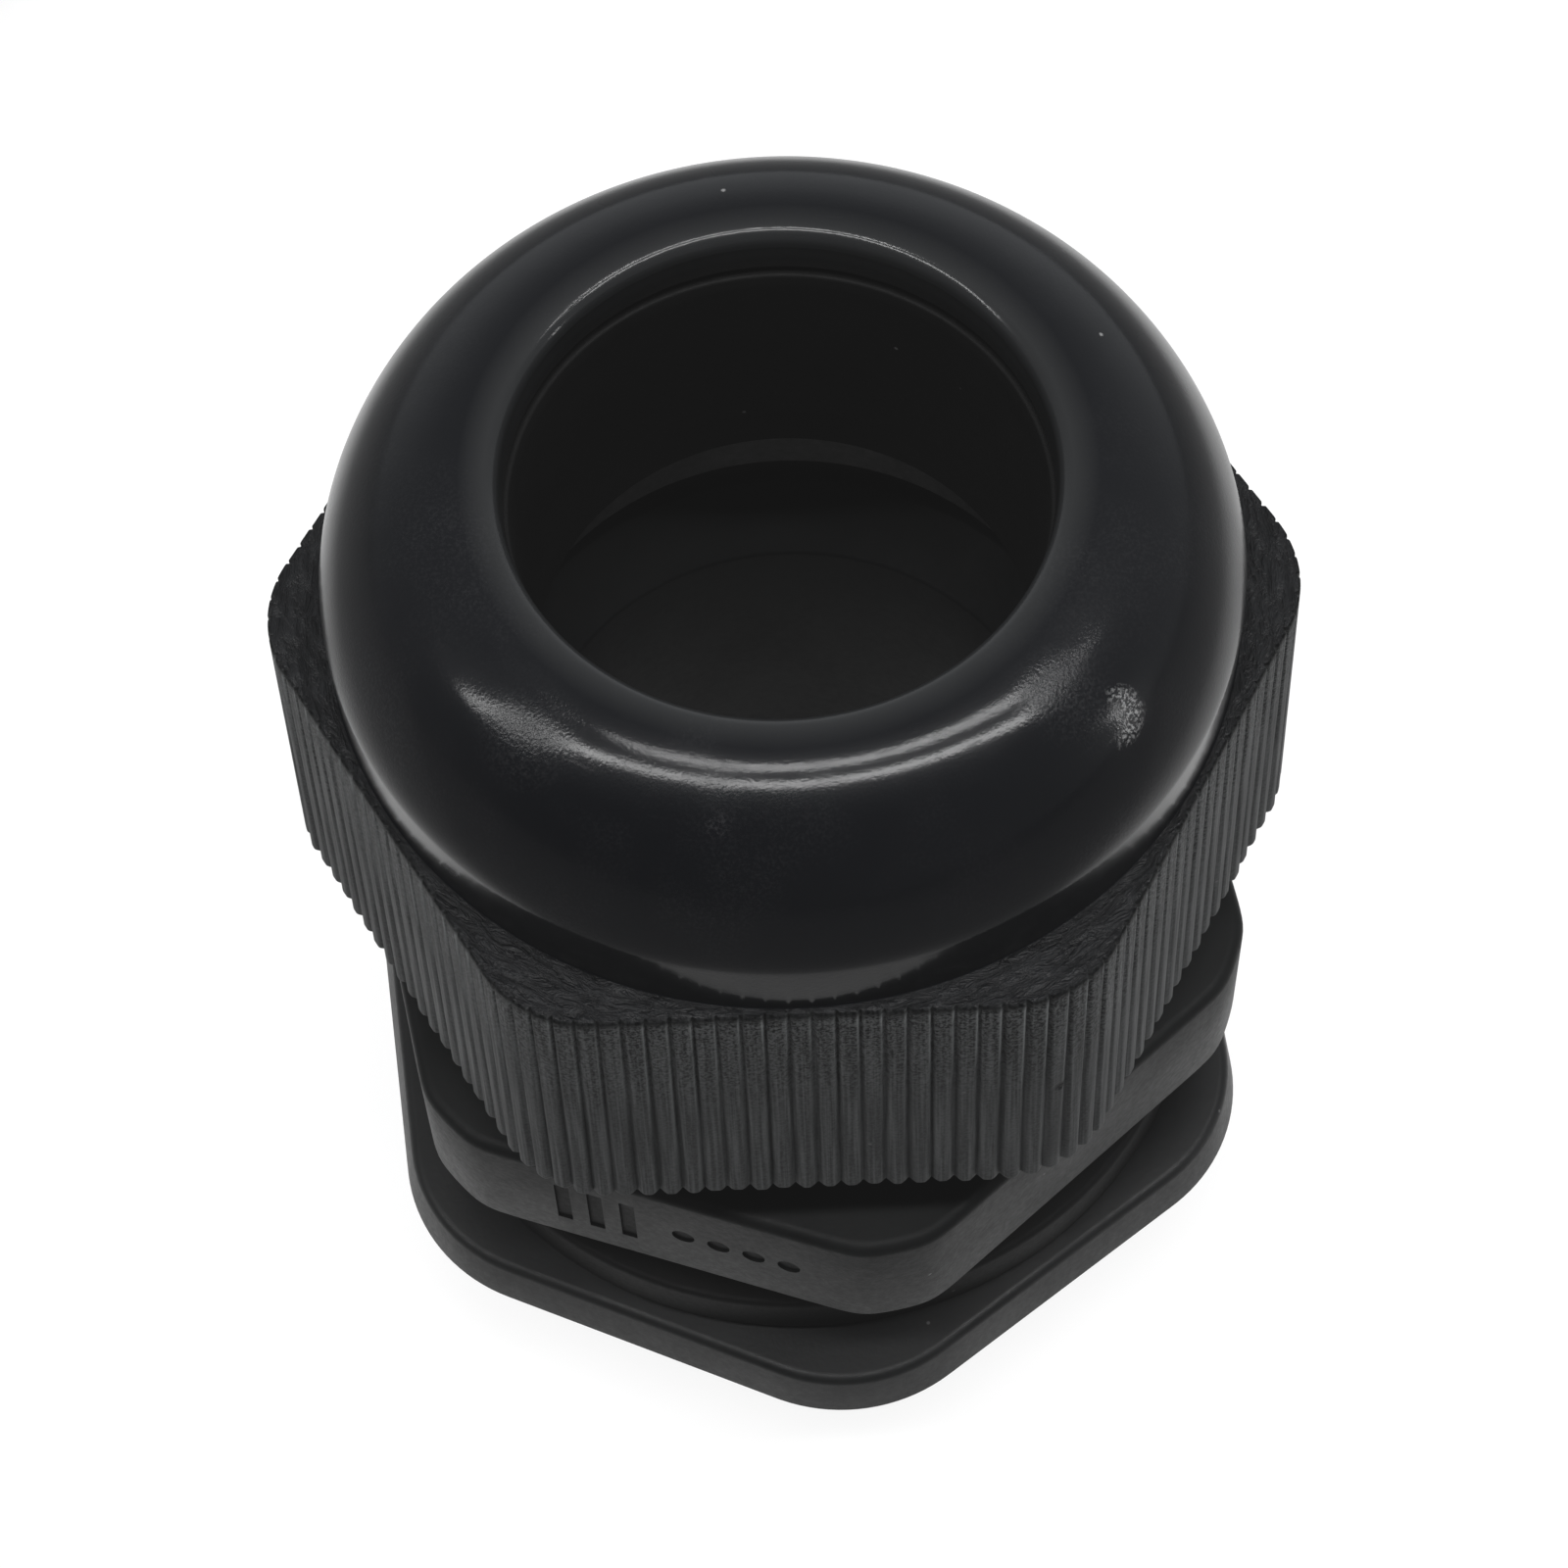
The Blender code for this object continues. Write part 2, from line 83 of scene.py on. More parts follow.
# Dome, opening and inside of the nut, which have one column for every CORE_SHARE of the skirt
CORE_SHARE = 4
NECK_STEPS = 14
DOME_STEPS = 44
SLOPE_STEPS = 8
LIP_STEPS = 12
DOME_RADIUS = 16.2 * MM
DOME_WIDEST = SHOULDER + 2.6 * MM
DOME_TOP_RADIUS = 10.6 * MM
DOME_SIDE_HANDLE = 0.93 * MM
DOME_TOP_HANDLE = 3.91 * MM
NECK_RADIUS = 16.17 * MM
OPENING_RADIUS = 9.53 * MM
LIP_ROUND = 0.56 * MM
LIP_SLOPE = math.radians(9.5)
LIP_TURN = math.radians(86)
LIP_BOTTOM = SHOULDER + 6.7 * MM
CONE_TOP_RADIUS = 11.75 * MM
CONE_LOW_RADIUS = 13.7 * MM
RELIEF_RADIUS = 14.7 * MM
NUT_MINOR = 13.75 * MM
NUT_MAJOR = 14.6 * MM
NUT_MOUTH = 14.8 * MM

# Body
COLLAR_FLATS = 32.26 * MM
COLLAR_CORNER = 17.84 * MM
COLLAR_TURN = math.radians(-79.8)
COLLAR_ROUNDS = (0.3 * MM, 0.5 * MM)
EDGE_SOFTNESS = 0.15 * MM
BODY_COLUMNS = 384
BORE_RADIUS = 9.9 * MM
BORE_STEP = (BODY_LOW + 24.8 * MM, BODY_LOW + 26.9 * MM)
INSERT_BORE_RADIUS = 12.05 * MM

# Row of bars and pips on one flat of the collar, placed along it in millimetres, and its half size
MARK_DEPTH = 0.10 * MM
MARK_BARS = (-4.2, -2.9, -1.6)
MARK_PIPS = (0.6, 2.0, 3.4, 4.8)
MARK_BAR_SIZE = (0.6 * MM, 3.0 * MM)
MARK_PIP_RADIUS = 0.45 * MM
MARK_REACH = (5.6 * MM, 1.6 * MM)

# Locknut
LOCK_FLATS = 34.2 * MM
LOCK_CORNER = 7.0 * MM
LOCK_TURN = math.radians(-84.4)
LOCK_ROUND = 0.35 * MM
LOCK_LEAN = 0.4 * MM
LOCK_SHRINK = 0.03 * MM
LOCK_WALL_LOW = LOCK_LOW + 2.5 * MM
LOCK_MINOR = 12.6 * MM
LOCK_MAJOR = 13.55 * MM
LOCK_MOUTH = 13.65 * MM
LOCK_LEAD_IN = 0.8 * MM

# Gasket and seal
GASKET_BORE = 13.6 * MM
GASKET_RADIUS = 16.0 * MM
SEAL_RADIUS = 10.55 * MM
SEAL_BORE = 9.2 * MM
SEAL_BORE_LOW = 9.0 * MM
BEAD_FOOT_RADIUS = 9.75 * MM
BEAD_RADII = (9.3 * MM, 9.6 * MM)

# Cage of clamping fingers
CAGE_BORE = 10.7 * MM
CAGE_LIP_RADIUS = 9.9 * MM
CAGE_SLEEVE_RADIUS = 11.8 * MM
CAGE_COLLAR_RADIUS = 13.2 * MM
CAGE_COLLAR_LOW = CAGE_LOW + 4.6 * MM
CAGE_COLLAR_HIGH = CAGE_LOW + 5.8 * MM
CAGE_COLUMNS = 168
FINGERS = 14
FINGER_ROOT_RADIUS = 12.7 * MM
FINGER_TIP_RADIUS = 11.5 * MM
FINGER_SLOT = 0.9 * MM
FINGER_SLOT_FLOOR = CAGE_LOW + 6.6 * MM

# Threads: radii of root and crest, half width of the crest, rise of one turn, height at angle 0
FLANK = math.tan(math.radians(30))
THREAD_PHASE = math.radians(2.6)
FLANK_GAP = 0.2 * MM
THREAD_ROW = 0.1 * MM
FADE_TURNS = 0.3
ENTRY_TAPER = 1 / 32
UPPER = {
    "root": 13.4 * MM,
    "crest": 14.3 * MM,
    "half": 0.2 * MM,
    "pitch": 2.0 * MM,
    "start": 20.9 * MM,
    "turns": 5.0,
}
ENTRY = {
    "root": 12.1 * MM,
    "crest": 13.3 * MM,
    "half": 0.12 * MM,
    "pitch": 25.4 / 14 * MM,
    "start": 1.1 * MM,
    "turns": 5.5,
}
STEM_COLUMNS = 288

# Scuffs on the dome: centre in millimetres, its height over the shoulder, then reach and soft edge. The
# first, on the right, is also a painted highlight: its lighter colour stands in for the glint of a light to
# the right.
SCUFFS_AND_GLINT = (
    ((9.2, -8.9, 7.9), 0.6, 1.4),
    ((-8.6, -9.6, 7.7), 0.5, 1.6),
    ((-2.5, -13.1, 7.6), 0.2, 0.5),
)

# The rim of the opening, lightened by a painted highlight, as above
RIM_HIGHLIGHT = ((0, 0, 8.3), 10.0, 0.9)

# A crescent scuff that also holds a painted highlight, the broken glint of a light to the right: what is
# left of the patch outside the gap, both as above
CRESCENT_PATCH = ((11.0, -9.25, 6.65), 0.75, 0.40)
CRESCENT_GAP = ((10.35, -9.6, 6.85), 0.70, 0.45)

# A pit in the skirt, darkened as painted shade in its hollow, as above
SKIRT_PIT = ((8.94, -16.22, -7.17), 0.12, 0.25)

# Floor: half its width, brightness of its glow, and where the glow begins and ends
FLOOR_REACH = 1.5
FLOOR_GLOW = 0.88
UNDER_GLOW = 0.12
UNDER_RADII = (11 * MM, 14 * MM)
POOL_CENTRE = (8 * MM, 19 * MM, 0)
POOL_RADII = (56 * MM, 86 * MM)
FRONT_FADE = (-35 * MM, -27 * MM)

# Tubes over the gland: name, x, y, length, width and power
TUBE_HEIGHT = 560 * MM
TUBES = (
    ("tube_front", -0.28, -0.120, 1.44, 0.050, 5.4),
    ("tube_middle", 0.17, 0.012, 0.64, 0.010, 1.05),
    ("tube_back", 0.045, 0.044, 0.39, 0.010, 0.65),
)

# Colours, some as darkest and lightest
DOME_COLOURS = ((0.0008, 0.0011, 0.0020), (0.0016, 0.0020, 0.0032))
RIM_HIGHLIGHT_COLOUR = (0.036, 0.037, 0.037)
SCUFF_AND_GLINT_COLOUR = (0.05, 0.05, 0.052)
GLINT_FLAKE_COLOUR = (0.22, 0.22, 0.22)
GLOSS_DUST = (0.16, 0.16, 0.16)
MATTE_DUST = (0.13, 0.13, 0.13)
RIB_COLOURS = ((0.0010, 0.0012, 0.0014), (0.105, 0.108, 0.109))
EDGE_HIGHLIGHT_COLOUR = (0.26, 0.27, 0.27)
PIT_SHADE_COLOUR = (0.0005, 0.0005, 0.0006)
SHOULDER_LIGHT_AND_SHADE = ((0.0004, 0.0005, 0.0010), (0.008, 0.0084, 0.0094))
FLOOR_COLOURS = ((0.13, 0.13, 0.13), (0.15, 0.15, 0.15))
ROOM_COLOUR = (0.94, 0.97, 1.0, 1.0)

# Camera, and how much its blacks are lifted
CAMERA_ELEVATION = math.radians(60.11)
CAMERA_ROLL = math.radians(-2.58)
CAMERA_DISTANCE = 162.24 * MM
CAMERA_AIM = Vector((0, 0, SHOULDER - 5.18 * MM))
LENS = 102.14
SHIFT = (-0.0019, -0.074)
BLACK_LIFT = 0.007


# ---- Mesh helpers ----


def strip(low_start, low_count, high_start, high_count):
    """Faces between two rows of points, one of which may have several times the other's points."""
    shared = min(low_count, high_count)
    low_step = low_count // shared
    high_step = high_count // shared
    for i in range(shared):
        low = [low_start + (i * low_step + k) % low_count for k in range(low_step + 1)]
        high = [high_start + (i * high_step + k) % high_count for k in range(high_step + 1)]
        yield low + high[::-1]


def closed_mesh(name, rows, slots):
    """Joins rows of points, each closed on itself, into one skin. slots is a material index for each."""
    starts = np.cumsum([0] + [len(row) for row in rows]).tolist()
    faces = []
    chosen = []
    for i, row in enumerate(rows):
        j = (i + 1) % len(rows)
        made = list(strip(starts[i], len(row), starts[j], len(rows[j])))
        faces += made
        chosen += [slots[i]] * len(made)
    mesh = bpy.data.meshes.new(name)
    mesh.from_pydata(np.concatenate(rows).tolist(), [], faces)
    mesh.polygons.foreach_set("material_index", chosen)
    mesh.update()
    return mesh


def finish_mesh(mesh, angle=40):
    """Turns the faces outwards and shades the mesh smooth, with edges past this angle sharp."""
    solid = bmesh.new()
    solid.from_mesh(mesh)
    bmesh.ops.recalc_face_normals(solid, faces=solid.faces)
    solid.to_mesh(mesh)
    solid.free()
    mesh.shade_smooth()
    mesh.set_sharp_from_angle(angle=math.radians(angle))


def place(name, mesh, body, node, materials):
    """Makes the mesh the piece that stands for a CAD node."""
    for material in materials:
        mesh.materials.append(material)
    obj = bpy.data.objects.new(name, mesh)
    bpy.context.scene.collection.objects.link(obj)
    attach(obj, body)
    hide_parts(node)


def cut_away(mesh, cutter):
    """The mesh with the cutter's solid taken out."""
    target = bpy.data.objects.new("target", mesh)
    tool = bpy.data.objects.new("tool", cutter)
    for obj in (target, tool):
        bpy.context.scene.collection.objects.link(obj)
    modifier = target.modifiers.new("cut", "BOOLEAN")
    modifier.operation = "DIFFERENCE"
    modifier.solver = "EXACT"
    modifier.object = tool
    graph = bpy.context.evaluated_depsgraph_get()
    result = bpy.data.meshes.new_from_object(target.evaluated_get(graph))
    for obj in (target, tool):
        bpy.data.objects.remove(obj)
    return result


def circle(angles, radius, height):
    """One row of points at these angles. The radius is one number, or one for each angle."""
    return np.stack(np.broadcast_arrays(radius * np.cos(angles), radius * np.sin(angles), height), -1)


def at_height(x, y, height):
    """One row of points at these x and y, level at this height."""
    return np.stack(np.broadcast_arrays(x, y, height), axis=-1)


def even_angles(count):
    """This many angles, evenly round a whole turn."""
    return np.arange(count) / count * math.tau


def softened(corners, radius, steps=4):
    """The open (radius, height) line with each inner corner rounded to this reach."""
    points = [tuple(corners[0])]
    for before, here, after in zip(corners, corners[1:], corners[2:]):
        here = Vector(here)
        back = Vector(before) - here
        ahead = Vector(after) - here
        reach = min(radius, back.length * 0.45, ahead.length * 0.45)
        start = here + back.normalized() * reach
        end = here + ahead.normalized() * reach
        for step in range(steps + 1):
            t = step / steps
            points.append(tuple(start * (1 - t) ** 2 + here * 2 * t * (1 - t) + end * t * t))
    points.append(tuple(corners[-1]))
    return points


def edge_rounding(low, high, low_round, high_round, steps=5):
    """(height, inset) pairs up a wall whose lower and upper edges are rounded."""
    turns = [math.pi / 2 * step / steps for step in range(steps + 1)]
    pairs = [(low + low_round * (1 - math.cos(a)), low_round * (1 - math.sin(a))) for a in turns]
    pairs += [(high - high_round * (1 - math.sin(a)), high_round * (1 - math.cos(a))) for a in turns]
    return pairs


# ---- Threads and outlines ----


def ridge_offset(angles, height, thread):
    """Distance in height from the nearest turn of the ridge, and how many turns up that is."""
    turn = (angles - THREAD_PHASE) / math.tau % 1
    along = (height - thread["start"]) / thread["pitch"] - turn
    nearest = np.round(along)
    return np.abs(along - nearest) * thread["pitch"], nearest + turn


def male_thread(angles, height, thread, taper=0.0):
    """One row of a threaded stem. The ridge sinks in at both ends, and taper narrows the stem downwards."""
    offset, turns = ridge_offset(angles, height, thread)
    rise = np.clip(np.minimum(turns, thread["turns"] - turns) / FADE_TURNS, 0, 1)
    radius = thread["crest"] - np.clip(offset - thread["half"], 0, None) / FLANK
    radius = thread["root"] + (np.clip(radius, thread["root"], None) - thread["root"]) * rise
    return circle(angles, radius - (COLLAR_LOW - height) * taper, height)


def female_thread(angles, height, thread, minor, major):
    """One row of a threaded bore that leaves a running gap round the male ridge."""
    offset, _ = ridge_offset(angles, height, thread)
    half = thread["half"] - (major - thread["crest"]) * FLANK + FLANK_GAP
    radius = major - np.clip(offset - half, 0, None) / FLANK
    return circle(angles, np.clip(radius, minor, major), height)


def hexagon_edge(share, flats, corner_radius, turn=0.0):
    """Points and outward directions, at shares of the way round a hexagon with a round corner at turn."""
    straight = (flats - 2 * corner_radius) * math.tan(math.radians(30))
    arc = corner_radius * math.tau / 6
    distance = share * 6 * (straight + arc)
    side = np.floor(distance / (straight + arc))
    along = distance - side * (straight + arc)
    flat_normal = turn + np.radians(60 * side + 30)
    corner = turn + np.radians(60 * side + 60)
    normal = flat_normal + np.clip(along - straight, 0, None) / corner_radius
    offset = along - straight / 2
    centre = (flats / 2 - corner_radius) / math.cos(math.radians(30))
    flat_x = flats / 2 * np.cos(flat_normal) - offset * np.sin(flat_normal)
    flat_y = flats / 2 * np.sin(flat_normal) + offset * np.cos(flat_normal)
    round_x = centre * np.cos(corner) + corner_radius * np.cos(normal)
    round_y = centre * np.sin(corner) + corner_radius * np.sin(normal)
    on_flat = along <= straight
    return np.where(on_flat, flat_x, round_x), np.where(on_flat, flat_y, round_y), normal


def turned_hexagon(angles, flats, corner_radius, turn, inset):
    """A hexagon whose corners a cylinder has turned off, one of them at turn, with soft edges between."""
    limits = [np.full(len(angles), corner_radius - inset)]
    for side in range(6):
        facing = np.cos(angles - turn - math.radians(60 * side + 30))
        limits.append((flats / 2 - inset) / np.clip(facing, 0.5, None))
    radius = -np.log(sum(np.exp(-limit / EDGE_SOFTNESS) for limit in limits)) * EDGE_SOFTNESS
    return radius * np.cos(angles), radius * np.sin(angles)


# ---- Clamping nut ----


def worn_ribs():
    """Each rib's own flank width, place and height, all slightly uneven, for every column."""
    chance = np.random.default_rng(RIB_SEED)
    flanks = 0.8 + 0.3 * chance.random(NUT_RIBS)
    lefts = 0.06 * (chance.random(NUT_RIBS) - 0.5)
    tops = 1 - 0.2 * chance.random(NUT_RIBS)
    return [np.repeat(shape, RIB_COLUMNS) for shape in (flanks, lefts, tops)]


def within_rib():
    """Where each column of the skirt lies across its rib, 0 to 1."""
    return (np.arange(NUT_RIBS * RIB_COLUMNS) % RIB_COLUMNS) / RIB_COLUMNS


def from_groove():
    """How far each column of the skirt is from its groove: 0 in it, 1 in the middle of a rib."""
    lefts = worn_ribs()[1]
    return np.clip(1 - np.abs(within_rib() - 0.5 - lefts) * 2, 0, 1)


def rib_heights(low_share):
    """How far out the ribs stand, 0 to 1, round the skirt: flat lands up high, round fins lower down."""
    flanks, _, tops = worn_ribs()
    rise = np.clip(from_groove() / (flanks * (0.30 + 0.50 * low_share)), 0, 1)
    land = (3 - 2 * rise) * rise * rise
    fin = np.sin(rise * math.pi / 2)
    heights = (land + (fin - land) * low_share) * tops
    return 1 - (1 - heights) * (0.55 + 0.45 * low_share)


def rib_ends(height):
    """How fully each column stands, 0 to 1, near the ribs' lower ends, which are round as fingertips."""
    start = NUT_LOW + FINGERTIP * (1 - np.sqrt(1 - (1 - from_groove()) ** 2))
    rise = np.clip((height - start) / RIB_END, 0, 1)
    return np.sqrt(rise * (2 - rise))


def skirt_row(height, inset=0.0, standing=None):
    """One row of the ribbed skirt. standing is 0 at groove depth and 1 where the ribs are full."""
    columns = NUT_RIBS * RIB_COLUMNS
    low_share = (SHOULDER - height) / (SHOULDER - NUT_LOW)
    flats = NUT_FLATS + 2 * NUT_DRAFT * low_share
    x, y, normal = hexagon_edge(np.arange(columns) / columns, flats, NUT_CORNER)
    if standing is None:
        standing = rib_ends(height)
    bevel = np.clip(NUT_LOW + FOOT_BEVEL - height, 0, None)
    depth = (RIB_DEPTH + bevel) * (1 - rib_heights(low_share) * standing) + inset
    return at_height(x - depth * np.cos(normal), y - depth * np.sin(normal), height)


def rib_edge_highlight(height):
    """0 to 1 round the skirt: where a painted highlight lies along a rib's right edge, which fades out half
    way down.
    """
    edge = np.clip(1 - np.abs(within_rib() - EDGE_PLACE) / EDGE_WIDTH, 0, 1)
    return edge * np.clip((height - NUT_LOW) / (SHOULDER - NUT_LOW) * 1.6 - 0.6, 0, 1)


def skirt_rows():
    """All rows of the skirt, from its foot to the worn edge of the shoulder."""
    foot = NUT_LOW + np.array(FOOT_ROWS) * MM
    wall = np.linspace(foot[-1], SHOULDER - 0.16 * MM, WALL_ROWS)[1:]
    rows = [skirt_row(height) for height in [*foot, *wall]]
    for drop, inset in WORN_EDGE:
        rows.append(skirt_row(SHOULDER - drop * MM, inset * MM))
    return rows


def bezier(first, first_handle, last_handle, last, steps):
    """Points along a cubic curve, without its last one."""
    points = []
    for step in range(steps):
        t = step / steps
        weights = ((1 - t) ** 3, 3 * t * (1 - t) ** 2, 3 * t * t * (1 - t), t**3)
        corners = (first, first_handle, last_handle, last)
        r = sum(weight * corner[0] for weight, corner in zip(weights, corners))
        z = sum(weight * corner[1] for weight, corner in zip(weights, corners))
        points.append((r, z))
    return points


def dome_profile():
    """(radius, height) points from the shoulder over the dome to the rim of the opening."""
    profile = [(NECK_RADIUS + 0.04 * MM, SHOULDER), (NECK_RADIUS, SHOULDER + 0.05 * MM)]
    neck_top = SHOULDER + 0.08 * MM
    for step in range(NECK_STEPS):
        share = step / NECK_STEPS
        radius = NECK_RADIUS + (DOME_RADIUS - NECK_RADIUS) * share * (2 - share)
        profile.append((radius, neck_top + (DOME_WIDEST - neck_top) * share))
    profile += bezier(
        (DOME_RADIUS, DOME_WIDEST),
        (DOME_RADIUS, DOME_WIDEST + DOME_SIDE_HANDLE),
        (DOME_TOP_RADIUS + DOME_TOP_HANDLE, NUT_HIGH),
        (DOME_TOP_RADIUS, NUT_HIGH),
        DOME_STEPS,
    )
    round_start = OPENING_RADIUS + LIP_ROUND * (math.sin(LIP_TURN) - math.sin(LIP_SLOPE))
    run = DOME_TOP_RADIUS - round_start
    drop = run * math.tan(LIP_SLOPE) / 2
    for step in range(SLOPE_STEPS):
        share = step / SLOPE_STEPS
        profile.append((DOME_TOP_RADIUS - run * share, NUT_HIGH - drop * share * share))
    for step in range(LIP_STEPS + 1):
        angle = LIP_SLOPE + (LIP_TURN - LIP_SLOPE) * step / LIP_STEPS
        radius = round_start - LIP_ROUND * (math.sin(angle) - math.sin(LIP_SLOPE))
        height = NUT_HIGH - drop - LIP_ROUND * (math.cos(LIP_SLOPE) - math.cos(angle))
        profile.append((radius, height))
    return profile


def nut_bore_profile():
    """(radius, height) points from the opening's rim down to the top of the nut's thread."""
    wall = OPENING_RADIUS - 0.1 * MM
    lip_low = dome_profile()[-1][1]
    corners = [
        (OPENING_RADIUS, lip_low),
        (OPENING_RADIUS - 0.02 * MM, lip_low - 0.2 * MM),
        (wall, lip_low - 0.6 * MM),
        (wall, LIP_BOTTOM),
        (CONE_TOP_RADIUS, LIP_BOTTOM),
        (CONE_LOW_RADIUS, SHOULDER - 2.0 * MM),
        (RELIEF_RADIUS, NUT_LOW + 11.5 * MM),
        (RELIEF_RADIUS, NUT_THREAD_TOP),
    ]
    return softened(corners, 0.12 * MM, 2)[1:]


def build_nut(materials):
    """The clamping nut: ribbed skirt, shoulder, glossy dome, lip, clamping cone and threaded bore."""
    rows = skirt_rows()
    skirt_edge_highlight = np.concatenate([rib_edge_highlight(row[0][2]) for row in rows])
    slots = ["ribs"] * len(rows)
    shoulder_edge = skirt_row(SHOULDER, 0.02 * MM, standing=0)
    angles = np.arctan2(shoulder_edge[:, 1], shoulder_edge[:, 0])[::CORE_SHARE]
    rows.append(shoulder_edge)
    slots[-1:] = ["shoulder", "shoulder"]
    for radius, height in dome_profile():
        rows.append(circle(angles, radius, height))
        slots.append("gloss")
    for radius, height in nut_bore_profile():
        rows.append(circle(angles, radius, height))
        slots.append("inside")
    for height in np.arange(NUT_THREAD_TOP - THREAD_ROW, NUT_LOW + THREAD_ROW / 2, -THREAD_ROW):
        lead_in = max(NUT_MOUTH - (height - NUT_LOW), RELIEF_RADIUS - (NUT_THREAD_TOP - height))
        minor = max(NUT_MINOR, lead_in)
        rows.append(female_thread(angles, height, UPPER, minor, NUT_MAJOR))
        slots.append("inside")
    rows.append(circle(angles, NUT_MOUTH, NUT_LOW))
    slots.append("ribs")
    names = list(materials)
    mesh = closed_mesh("clamping_nut", rows, [names.index(slot) for slot in slots])
    # Share of painted highlight along the ribs' right edges, which the skirt's material reads
    highlight_layer = mesh.attributes.new("edge_highlight", "FLOAT", "POINT")
    values = np.zeros(len(mesh.vertices))
    values[: len(skirt_edge_highlight)] = skirt_edge_highlight
    highlight_layer.data.foreach_set("value", values)
    finish_mesh(mesh, 50)
    place("clamping_nut", mesh, "nut", "dome_nut", materials.values())


# ---- Body ----


def collar_marks():
    """Cutters for the neutral row of bars and pips on one flat of the collar."""
    marks = bmesh.new()
    surface = COLLAR_FLATS / 2
    middle = (COLLAR_LOW + COLLAR_HIGH) / 2
    for place_along in MARK_BARS:
        bar = bmesh.ops.create_cube(marks, size=1)["verts"]
        bmesh.ops.scale(marks, verts=bar, vec=(2 * MARK_DEPTH, *MARK_BAR_SIZE))
        bmesh.ops.translate(marks, verts=bar, vec=(surface, place_along * MM, middle))
    for place_along in MARK_PIPS:
        pip = bmesh.ops.create_cone(
            marks,
            cap_ends=True,
            segments=32,
            radius1=MARK_PIP_RADIUS,
            radius2=MARK_PIP_RADIUS,
            depth=2 * MARK_DEPTH,
        )["verts"]
        bmesh.ops.rotate(marks, verts=pip, matrix=Matrix.Rotation(math.pi / 2, 3, "Y"))
        bmesh.ops.translate(marks, verts=pip, vec=(surface, place_along * MM, middle))
    turn = Matrix.Rotation(COLLAR_TURN - math.radians(30), 3, "Z")
    bmesh.ops.rotate(marks, verts=marks.verts, matrix=turn)
    mesh = bpy.data.meshes.new("collar_marks")
    marks.to_mesh(mesh)
    marks.free()
    return mesh


def shade_sunk_marks(mesh, slot):
    """Gives the faces sunk into the marked flat of the collar their own, darker material, as painted shade
    in the recesses.
    """
    turn = Matrix.Rotation(-COLLAR_TURN + math.radians(30), 3, "Z")
    middle = (COLLAR_LOW + COLLAR_HIGH) / 2
    along, up = MARK_REACH
    for face in mesh.polygons:
        x, y, z = turn @ face.center
        sunk = COLLAR_FLATS / 2 - x
        if 0.2 * MARK_DEPTH < sunk < 2 * MARK_DEPTH and abs(y) < along and abs(z - middle) < up:
            face.material_index = slot


def build_body(materials):
    """The one-piece body: tapered entry thread, hexagonal collar, upper threaded tube and stepped bore."""
    angles = even_angles(BODY_COLUMNS)
    root_low = ENTRY["root"] - (COLLAR_LOW - BODY_LOW) * ENTRY_TAPER
    rows = [circle(angles, root_low - 0.5 * MM, BODY_LOW)]
    for height in np.arange(BODY_LOW + 0.5 * MM, COLLAR_LOW, THREAD_ROW):
        rows.append(male_thread(angles, height, ENTRY, ENTRY_TAPER))
    slots = ["thread"] * len(rows)
    rows.append(circle(angles, ENTRY["root"], COLLAR_LOW))
    for height, inset in edge_rounding(COLLAR_LOW, COLLAR_HIGH, *COLLAR_ROUNDS):
        x, y = turned_hexagon(angles, COLLAR_FLATS, COLLAR_CORNER, COLLAR_TURN, inset)
        rows.append(at_height(x, y, height))
    rows.append(circle(angles, UPPER["root"] + 0.15 * MM, COLLAR_HIGH))
    slots += ["collar"] * (len(rows) - len(slots))
    for height in np.arange(COLLAR_HIGH + 0.15 * MM, TUBE_TOP - 0.4 * MM, THREAD_ROW):
        rows.append(male_thread(angles, height, UPPER))
    bore = [
        (UPPER["root"], TUBE_TOP - 0.4 * MM),
        (UPPER["root"] - 0.4 * MM, TUBE_TOP),
        (INSERT_BORE_RADIUS + 0.4 * MM, TUBE_TOP),
        (INSERT_BORE_RADIUS, TUBE_TOP - 0.4 * MM),
        (INSERT_BORE_RADIUS, BORE_STEP[1]),
        (BORE_RADIUS, BORE_STEP[0]),
        (BORE_RADIUS, BODY_LOW + 0.3 * MM),
        (BORE_RADIUS + 0.3 * MM, BODY_LOW),
    ]
    for radius, height in softened(bore, 0.12 * MM, 2):
        rows.append(circle(angles, radius, height))
    slots += ["thread"] * (len(rows) - len(slots))
    names = list(materials)
    mesh = closed_mesh("threaded_body", rows, [names.index(slot) for slot in slots])
    mesh = cut_away(mesh, collar_marks())
    shade_sunk_marks(mesh, names.index("marks"))
    finish_mesh(mesh, 45)
    place("threaded_body", mesh, "body", "gland_body", materials.values())


# ---- Smaller pieces ----


